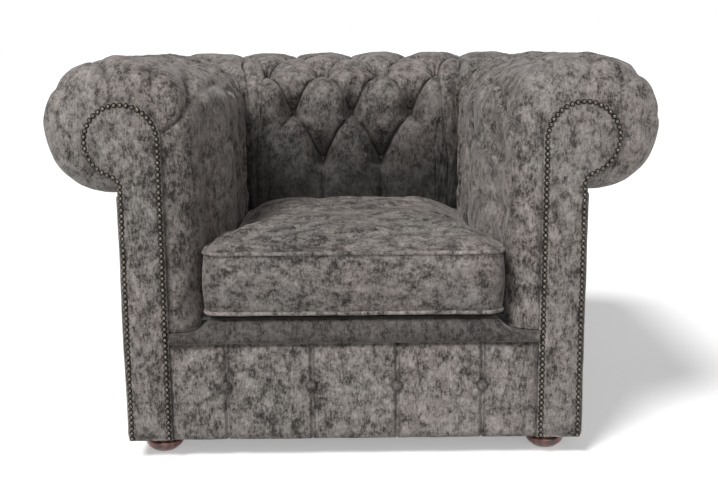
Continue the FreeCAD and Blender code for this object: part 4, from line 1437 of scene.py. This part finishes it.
def floor_material():
    """White where the camera looks at it, darkened by the chair's shadow."""
    s = Shader("floor_white")
    s.bsdf.inputs["Base Color"].default_value = (0.90, 0.90, 0.90, 1.0)
    s.set(roughness=0.95, specular=0.0)
    path = s.node("ShaderNodeLightPath")
    seen = s.math("MAXIMUM", path.outputs["Is Camera Ray"], path.outputs["Is Glossy Ray"])
    seen = s.math("MAXIMUM", seen, path.outputs["Is Transmission Ray"])
    glow = s.node("ShaderNodeEmission")
    s.link(s.math("MULTIPLY", seen, floor_glow), glow.inputs["Strength"])
    total = s.node("ShaderNodeAddShader")
    s.link(s.bsdf.outputs[0], total.inputs[0])
    s.link(glow.outputs[0], total.inputs[1])
    s.link(total.outputs[0], s.tree.nodes["Material Output"].inputs["Surface"])
    return s.material


floor_mesh.materials.append(floor_material())

world = bpy.data.worlds.new("studio")
bpy.context.scene.world = world
world.use_nodes = True
tree = world.node_tree
background = tree.nodes["Background"]
light_path = tree.nodes.new("ShaderNodeLightPath")
seen = light_path.outputs["Is Camera Ray"]
for ray in ("Is Glossy Ray", "Is Transmission Ray"):
    larger = tree.nodes.new("ShaderNodeMath")
    larger.operation = "MAXIMUM"
    tree.links.new(seen, larger.inputs[0])
    tree.links.new(light_path.outputs[ray], larger.inputs[1])
    seen = larger.outputs[0]
strength = tree.nodes.new("ShaderNodeMix")
strength.inputs["A"].default_value = world_light
strength.inputs["B"].default_value = world_seen
tree.links.new(seen, strength.inputs["Factor"])
tree.links.new(strength.outputs["Result"], background.inputs["Strength"])
background.inputs["Color"].default_value = (1, 1, 1, 1)


def sun_light(name, direction, angle, strength):
    """A distant soft lamp shining along a direction; the angle in degrees sets how soft."""
    data = bpy.data.lights.new(name, "SUN")
    data.energy = strength
    data.angle = math.radians(angle)
    lamp = bpy.data.objects.new(name, data)
    lamp.rotation_euler = Vector(direction).to_track_quat("-Z", "Y").to_euler()
    bpy.context.scene.collection.objects.link(lamp)


sun_light("key", (0.50, 0.62, -0.95), 18.0, 3.0)
sun_light("fill", (-0.10, 1.0, -0.30), 50.0, 0.85)

camera_data = bpy.data.cameras.new("camera")
camera_data.sensor_width = sensor_width
camera_data.lens = focal_pixels / picture_width * sensor_width
camera = bpy.data.objects.new("camera", camera_data)
camera.location = camera_place
aim = Euler((math.radians(90.0 - camera_pitch), 0.0, math.radians(camera_yaw))).to_matrix()
camera.rotation_euler = (aim @ Matrix.Rotation(math.radians(camera_roll), 3, "Z")).to_euler()
bpy.context.scene.collection.objects.link(camera)
bpy.context.scene.camera = camera
bpy.context.scene.view_settings.view_transform = "Standard"
